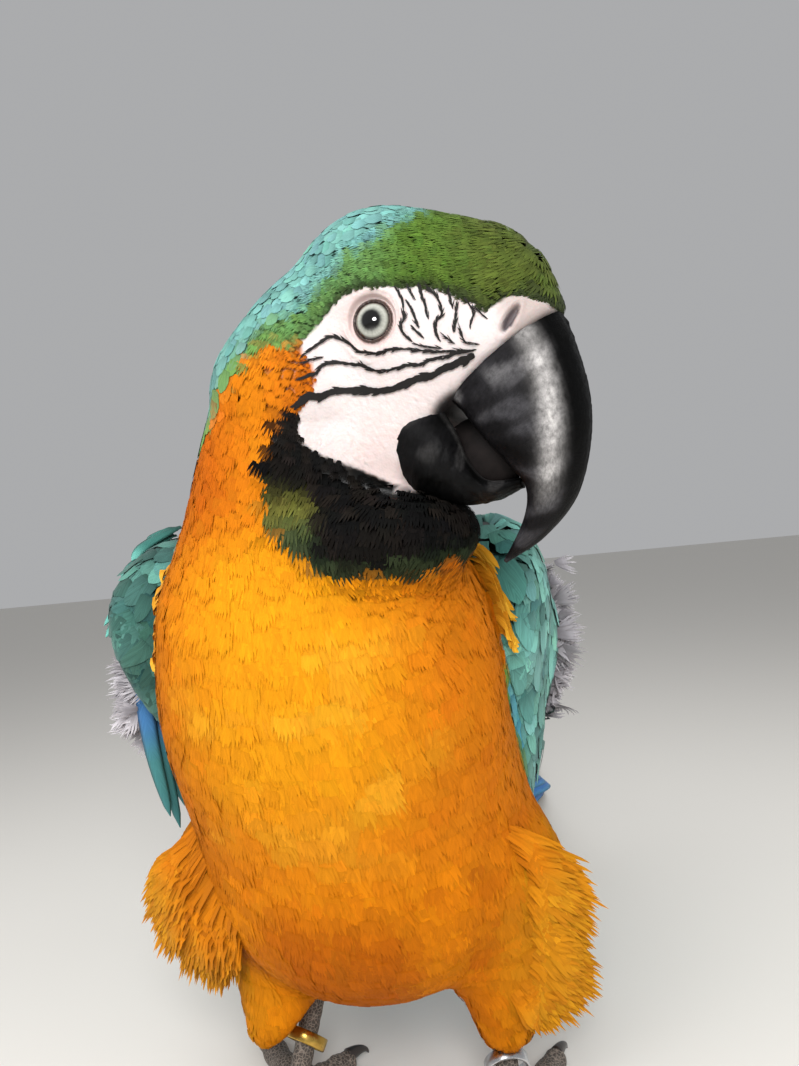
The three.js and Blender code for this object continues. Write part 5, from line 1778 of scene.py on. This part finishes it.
# ---------- feet ----------
TOE_PLANS = {  # angle from straight ahead, length and radius at the root
    "inner_front": (-14, 36, 5.6), "outer_front": (22, 52, 6), "outer_back": (146, 43, 5.8),
    "inner_back": (-140, 27, 5.4),
}
KNUCKLE_HEIGHT = 11
HEEL = {"left": (-21, -1, 36), "right": (-18, 11, 54)}
RING_UP = {"left": 10, "right": 12}
SHANK_RADIUS, RING_BORE, RING_WALL, RING_HEIGHT, RING_TIP = 4.4, 7.1, 1.2, 4.6, 0.42


def scaly_skin():
    """Dry reticulate foot skin: small dark plates parted by pale creases about 1.4 mm apart."""
    made, tree, shader = material("Scaly foot skin", Roughness=0.62, Specular_IOR_Level=0.4)
    where = node(tree, "ShaderNodeTexCoord").outputs["Object"]
    plates = node(tree, "ShaderNodeTexVoronoi", {"Vector": where, "Scale": 720.0}, feature="DISTANCE_TO_EDGE")
    crease = ranged(tree, plates.outputs[0], 0.0, 0.14, 0.0, 1.0)
    dark = between(tree, noise(tree, 110.0, Detail=3.0), "#2b2724", "#57504a")
    coloured(tree, shader, between(tree, crease, "#8a7f74", dark))
    bumped(tree, shader, crease, 0.6, 0.0004)
    return made


def claw_horn():
    made, tree, shader = material("Claw horn", Roughness=0.3)
    grain = noise(tree, 260.0, Detail=4.0)
    coloured(tree, shader, between(tree, grain, "#100e0e", "#3d3632"))
    bumped(tree, shader, grain, 0.3, 0.0002)
    return made


def ring_metal(name, code):
    """Plain metal with fine wear."""
    made, tree, shader = material(name, Metallic=1.0, Base_Color=rgba(code))
    wear = noise(tree, 300.0, Detail=4.0)
    tree.links.new(ranged(tree, wear, 0.3, 0.7, 0.2, 0.45), shader.inputs["Roughness"])
    bumped(tree, shader, wear, 0.1, 0.0001)
    return made


def build_shank(side, hide):
    """Shank with rings of broad scales in front."""
    foot = FOOT[side]
    heel, knuckle = foot.at(*HEEL[side]), foot.at(1, 0, KNUCKLE_HEIGHT)
    across = foot.way(0, 1, 0)
    front = unit(np.cross(across, unit(heel - knuckle)))
    turn, rings = circle(40), []
    for t in np.linspace(-0.18, 1.0, 54):
        scales = 0.22 * np.abs(np.sin(t * 30 + 0.5 * np.cos(turn)))
        r = SHANK_RADIUS + 0.5 * t - 0.5 + scales + 2.6 * smooth(0.12, -0.15, t)
        rings.append(ring_about(knuckle + (heel - knuckle) * t, across, front, r, r, turn))
    finished(tube("shank_" + side, rings), "foot_skin", hide)


def build_sole(side, hide):
    """Pad under the joint of the toes."""
    foot = FOOT[side]
    rings = []
    for polar in np.linspace(0.05, math.pi - 0.05, 26):
        centre, r = foot.at(0, 0, 6.8 + math.cos(polar) * 6.6), math.sin(polar) * 9.3
        rings.append(above(ring_about(centre, foot.way(1, 0, 0), foot.way(0, 1, 0), r, r, circle(44)), 0.2))
    finished(tube("sole_" + side, rings), "foot_skin", hide, nodes=("foot_" + side,))


def build_toe(side, toe, hide, ahead, across):
    """Toe with joints and a row of broad scales on top."""
    foot = FOOT[side]
    _, length, radius = TOE_PLANS[toe]
    turn, rings = circle(36), []
    for t in np.linspace(0, 1, 56):
        slim = radius * (1 - 0.22 * t)
        end = math.sqrt(max(1 - max((t - 0.88) / 0.12, 0) ** 2 * 0.86, 0.05))
        r = slim * (1 + 0.07 * math.cos(t * 6 * math.pi)) * end
        on_top = np.maximum(np.sin(turn), 0)
        scales = 0.32 * on_top ** 0.5 * np.abs(math.sin(t * length / 2.7 * math.pi)) ** 0.6
        r = r - 0.15 + scales
        centre = foot.origin + ahead * (3 + (length - 3) * t) + foot.way(0, 0, slim * 0.84)
        rings.append(above(ring_about(centre, across, foot.way(0, 0, 1), r, r, turn), 0.05))
    piece = tube("toe_skin_%s_%s" % (side, toe), rings)
    finished(piece, "foot_skin", hide, nodes=("toe_%s_%s" % (side, toe),))


def build_claw(side, toe, horn, ahead, across):
    foot, length = FOOT[side], TOE_PLANS[toe][1]
    rings = []
    for t in np.linspace(0, 1, 30):
        bend = 1.5 * t
        height = 5.6 + 1.5 * t - 5.8 * (1 - math.cos(bend))
        centre = foot.origin + ahead * (length - 2.5 + 11 * math.sin(bend)) + foot.way(0, 0, height)
        r = (3 * (1 - t) + 0.3) * (1 - 0.12 * t)
        lift = unit(ahead * math.sin(bend) * 0.9 + foot.way(0, 0, math.cos(bend)))
        rings.append(above(ring_about(centre, across, lift, r * 0.8, r, circle(24)), 0.05))
    piece = tube("claw_horn_%s_%s" % (side, toe), rings)
    finished(piece, "claw", horn, nodes=("claw_%s_%s" % (side, toe),))


def build_leg_ring(side, slot, metal):
    """A plain band with eased edges."""
    heel, knuckle = FOOT[side].at(*HEEL[side]), FOOT[side].at(1, 0, KNUCKLE_HEIGHT)
    along = unit(unit(knuckle - heel) + (0, 0, RING_TIP))
    middle = knuckle + (heel - knuckle) * (RING_UP[side] / (HEEL[side][2] - KNUCKLE_HEIGHT))
    a = unit(np.cross(along, (1.0, 0, 0)))
    b = np.cross(along, a)
    half, ease = RING_HEIGHT / 2, 0.28
    inner, outer = RING_BORE, RING_BORE + RING_WALL
    profile = [(inner, -half + ease), (inner + ease, -half), (outer - ease, -half), (outer, -half + ease),
               (outer, half - ease), (outer - ease, half), (inner + ease, half), (inner, half - ease)]
    points = np.concatenate([ring_about(middle + along * h, a, b, r, r, circle(96)) for r, h in profile])
    band = turned_outward(to_mesh("band_" + side, points, woven(len(profile) + 1, 96) % len(points)))
    finished(band, slot, metal, nodes=("leg_ring_" + side,))


def build_feet():
    hide, horn = scaly_skin(), claw_horn()
    metals = {"left": ("ring_silver", ring_metal("Steel leg ring", "#c9cbce")),
              "right": ("ring_gold", ring_metal("Brass leg ring", "#c9a552"))}
    for side, out in SIDES:
        build_shank(side, hide)
        build_sole(side, hide)
        for toe, (angle, _, _) in TOE_PLANS.items():
            yaw = math.radians(angle * out)
            ahead = FOOT[side].way(math.cos(yaw), math.sin(yaw), 0)
            across = FOOT[side].way(-math.sin(yaw), math.cos(yaw), 0)
            build_toe(side, toe, hide, ahead, across)
            build_claw(side, toe, horn, ahead, across)
        build_leg_ring(side, *metals[side])


# ---------- stage ----------
CAMERA_PLACE, LIT_PLACE = (16, -320, 220), (0, -20, 190)
FLOOR_REACH = 4000


def build_stage(settings):
    scene = bpy.context.scene
    scene.view_settings.view_transform = "Standard"
    corners = np.array([(-1, -1, 0), (1, -1, 0), (1, 1, 0), (-1, 1, 0)], float) * FLOOR_REACH
    floor = to_mesh("floor", corners, np.array([[0, 1, 2, 3]]))
    made = material("Matt paper floor", Roughness=0.9, Base_Color=rgba("#dcd9d3"))[0]
    floor.data.materials.append(made)
    world = bpy.data.worlds.new("Studio")
    world.use_nodes = True
    world.node_tree.nodes["Background"].inputs["Color"].default_value = rgba("#dfe0e2")
    world.node_tree.nodes["Background"].inputs["Strength"].default_value = settings.room_light
    scene.world = world
    eye = SHIFT + CAMERA_PLACE
    for name, place, size, power in (
        ("Key", eye + (20, -330, 300), 0.3, settings.key_light),
        ("Overhead", eye + (-260, -60, 620), 0.8, settings.top_light),
        ("Side", eye + (600, 120, 240), 0.8, settings.top_light * 0.5),
        ("Catchlight", eye + (-74, -10, 115), 0.08, settings.key_light * 0.14),
        ("Fill", eye + (-520, 30, 120), 0.9, settings.top_light * 0.4),
    ):
        lamp = bpy.data.lights.new(name, "AREA")
        lamp.shape, lamp.energy, lamp.size = "DISK", power, size
        light = bpy.data.objects.new(name, lamp)
        target = SHIFT + LIT_PLACE
        light.location = place * MM
        light.rotation_euler = Vector(tuple(target - place)).to_track_quat("-Z", "Y").to_euler()
        light.visible_glossy = name == "Catchlight"
        light.visible_diffuse = name != "Catchlight"
        scene.collection.objects.link(light)
    data = bpy.data.cameras.new("Camera")
    data.sensor_fit, data.sensor_height, data.lens = "VERTICAL", 36.0, settings.lens
    data.clip_start, data.clip_end = 0.01, 50.0
    camera = bpy.data.objects.new("Camera", data)
    level = Matrix.Rotation(math.radians(90), 4, "X")
    rolled = Matrix.Rotation(math.radians(settings.roll), 4, "Z")
    camera.matrix_world = Matrix.Translation(Vector(tuple(eye * MM))) @ level @ rolled
    scene.collection.objects.link(camera)
    scene.camera = camera


# ---------- add-on ----------
def colour_setting(name, code, description):
    """A colour to pick in the panel, from its sRGB hex default."""
    return bpy.props.FloatVectorProperty(name=name, description=description, subtype="COLOR", size=3,
                                         min=0.0, max=1.0, default=tuple(linear(code)))


def length_setting(name, millimetres, description):
    return bpy.props.FloatProperty(name=name, description=description, default=millimetres * MM,
                                   min=0.0002, soft_max=0.05, unit="LENGTH")


class MacawLook(bpy.types.PropertyGroup):
    crown: colour_setting("Crown", "#4f6c27", "Olive green of the crown feathers")
    turquoise: colour_setting("Nape", "#689a93", "Turquoise of the nape and upper back")
    breast: colour_setting("Breast", "#de9210", "Golden orange of the breast")
    bib: colour_setting("Bib", "#0d0d0d", "Black of the throat band")
    wing: colour_setting("Wing coverts", "#5f988c", "Teal of the wing coverts")
    face: colour_setting("Bare face", "#c3b9b7", "White skin of the cheeks")
    iris: colour_setting("Iris", "#a3a49b", "Pale grey ring of the eye")
    bill_grey: colour_setting("Worn bill and painted reflection", "#a3a09e", "Pale keratin of the worn bill, also the painted reflection in its band")
    crown_spacing: length_setting("Crown feather spacing", 1.35,
                                  "Distance between the small feathers of the crown")
    breast_spacing: length_setting("Breast feather spacing", 2.1,
                                   "Distance between the feathers of breast, belly and legs")
    covert_spacing: length_setting("Covert spacing", 4.2, "Distance between the middle coverts of the wings")
    plume_width: length_setting("Plume width", 10.0, "Width of the loose plumes of the flanks")
    down_length: length_setting("Down length", 17.0, "Longest reach of the grey down at the shoulders")


class MacawStage(bpy.types.PropertyGroup):
    room_light: bpy.props.FloatProperty(name="Room light",
                                        description="Strength of the even light from all round",
                                        default=0.55, min=0.0)
    key_light: bpy.props.FloatProperty(name="Key light", description="Power of the soft light in front",
                                       default=4.3, min=0.0, unit="POWER")
    top_light: bpy.props.FloatProperty(name="Overhead light",
                                       description="Power of the broad soft light above", default=4.5,
                                       min=0.0, unit="POWER")
    lens: bpy.props.FloatProperty(name="Focal length", description="Camera lens in millimetres",
                                  default=27.02, min=10.0, unit="CAMERA")
    roll: bpy.props.FloatProperty(name="Roll", description="Tilt of the camera to one side, in degrees",
                                  default=-5.3)


class MACAW_OT_skin(bpy.types.Operator):
    """Builds one skin for the head, neck, trunk, thighs and wings"""
    bl_idname = "macaw.skin"
    bl_label = "Skin"

    def execute(self, context):
        build_skin()
        return {"FINISHED"}


class MACAW_OT_body_coat(bpy.types.Operator):
    """Lays the feathers of the head, neck, breast, belly and legs over the skin"""
    bl_idname = "macaw.body_coat"
    bl_label = "Body feathers"

    def execute(self, context):
        build_body_coat()
        return {"FINISHED"}


class MACAW_OT_face_feathers(bpy.types.Operator):
    """Sets the lines of small black feathers on the bare face"""
    bl_idname = "macaw.face_feathers"
    bl_label = "Face feathers"

    def execute(self, context):
        build_face_feathers()
        return {"FINISHED"}


class MACAW_OT_eyes(bpy.types.Operator):
    """Builds the eyeballs"""
    bl_idname = "macaw.eyes"
    bl_label = "Eyes"

    def execute(self, context):
        build_eyes()
        return {"FINISHED"}


class MACAW_OT_bill(bpy.types.Operator):
    """Builds both halves of the bill and the tongue"""
    bl_idname = "macaw.bill"
    bl_label = "Bill and tongue"

    def execute(self, context):
        build_bill()
        return {"FINISHED"}


class MACAW_OT_wing_coverts(bpy.types.Operator):
    """Lays three layers of coverts over the wings"""
    bl_idname = "macaw.wing_coverts"
    bl_label = "Wing coverts"

    def execute(self, context):
        build_wing_coverts()
        return {"FINISHED"}


class MACAW_OT_flight_and_tail(bpy.types.Operator):
    """Builds the folded flight feathers and the tail"""
    bl_idname = "macaw.flight_and_tail"
    bl_label = "Flight and tail feathers"

    def execute(self, context):
        build_flight_and_tail()
        return {"FINISHED"}


class MACAW_OT_down(bpy.types.Operator):
    """Builds the flanks' plumes, the shoulders' down and the yellow feathers at the sides of the breast"""
    bl_idname = "macaw.down"
    bl_label = "Plumes and down"

    def execute(self, context):
        build_flank_plumes()
        build_down()
        build_side_scallops()
        return {"FINISHED"}


class MACAW_OT_feet(bpy.types.Operator):
    """Builds the shanks, toes, claws and leg rings"""
    bl_idname = "macaw.feet"
    bl_label = "Feet and leg rings"

    def execute(self, context):
        build_feet()
        return {"FINISHED"}


class MACAW_OT_stage(bpy.types.Operator):
    """Sets the floor, the soft lights and the camera"""
    bl_idname = "macaw.stage"
    bl_label = "Stage"

    def execute(self, context):
        build_stage(context.scene.macaw_stage)
        return {"FINISHED"}


STEPS = (MACAW_OT_skin, MACAW_OT_body_coat, MACAW_OT_face_feathers, MACAW_OT_eyes, MACAW_OT_bill,
         MACAW_OT_wing_coverts, MACAW_OT_flight_and_tail, MACAW_OT_down, MACAW_OT_feet, MACAW_OT_stage)


class MACAW_PT_panel(bpy.types.Panel):
    bl_label = "Macaw"
    bl_idname = "MACAW_PT_panel"
    bl_space_type = "VIEW_3D"
    bl_region_type = "UI"
    bl_category = "Macaw"

    def draw(self, context):
        for step in STEPS:
            self.layout.operator(step.bl_idname)
        for settings in (context.scene.macaw_look, context.scene.macaw_stage):
            for name in type(settings).__annotations__:
                self.layout.prop(settings, name)


def register():
    bpy.utils.register_class(MacawLook)
    bpy.utils.register_class(MacawStage)
    bpy.types.Scene.macaw_look = bpy.props.PointerProperty(type=MacawLook)
    bpy.types.Scene.macaw_stage = bpy.props.PointerProperty(type=MacawStage)
    for kind in STEPS + (MACAW_PT_panel,):
        bpy.utils.register_class(kind)


def unregister():
    for kind in (MACAW_PT_panel,) + STEPS[::-1]:
        bpy.utils.unregister_class(kind)
    del bpy.types.Scene.macaw_look, bpy.types.Scene.macaw_stage
    bpy.utils.unregister_class(MacawStage)
    bpy.utils.unregister_class(MacawLook)


def main():
    register()
    for step in STEPS:
        group, name = step.bl_idname.split(".")
        getattr(getattr(bpy.ops, group), name)()


if __name__ == "__main__":
    main()
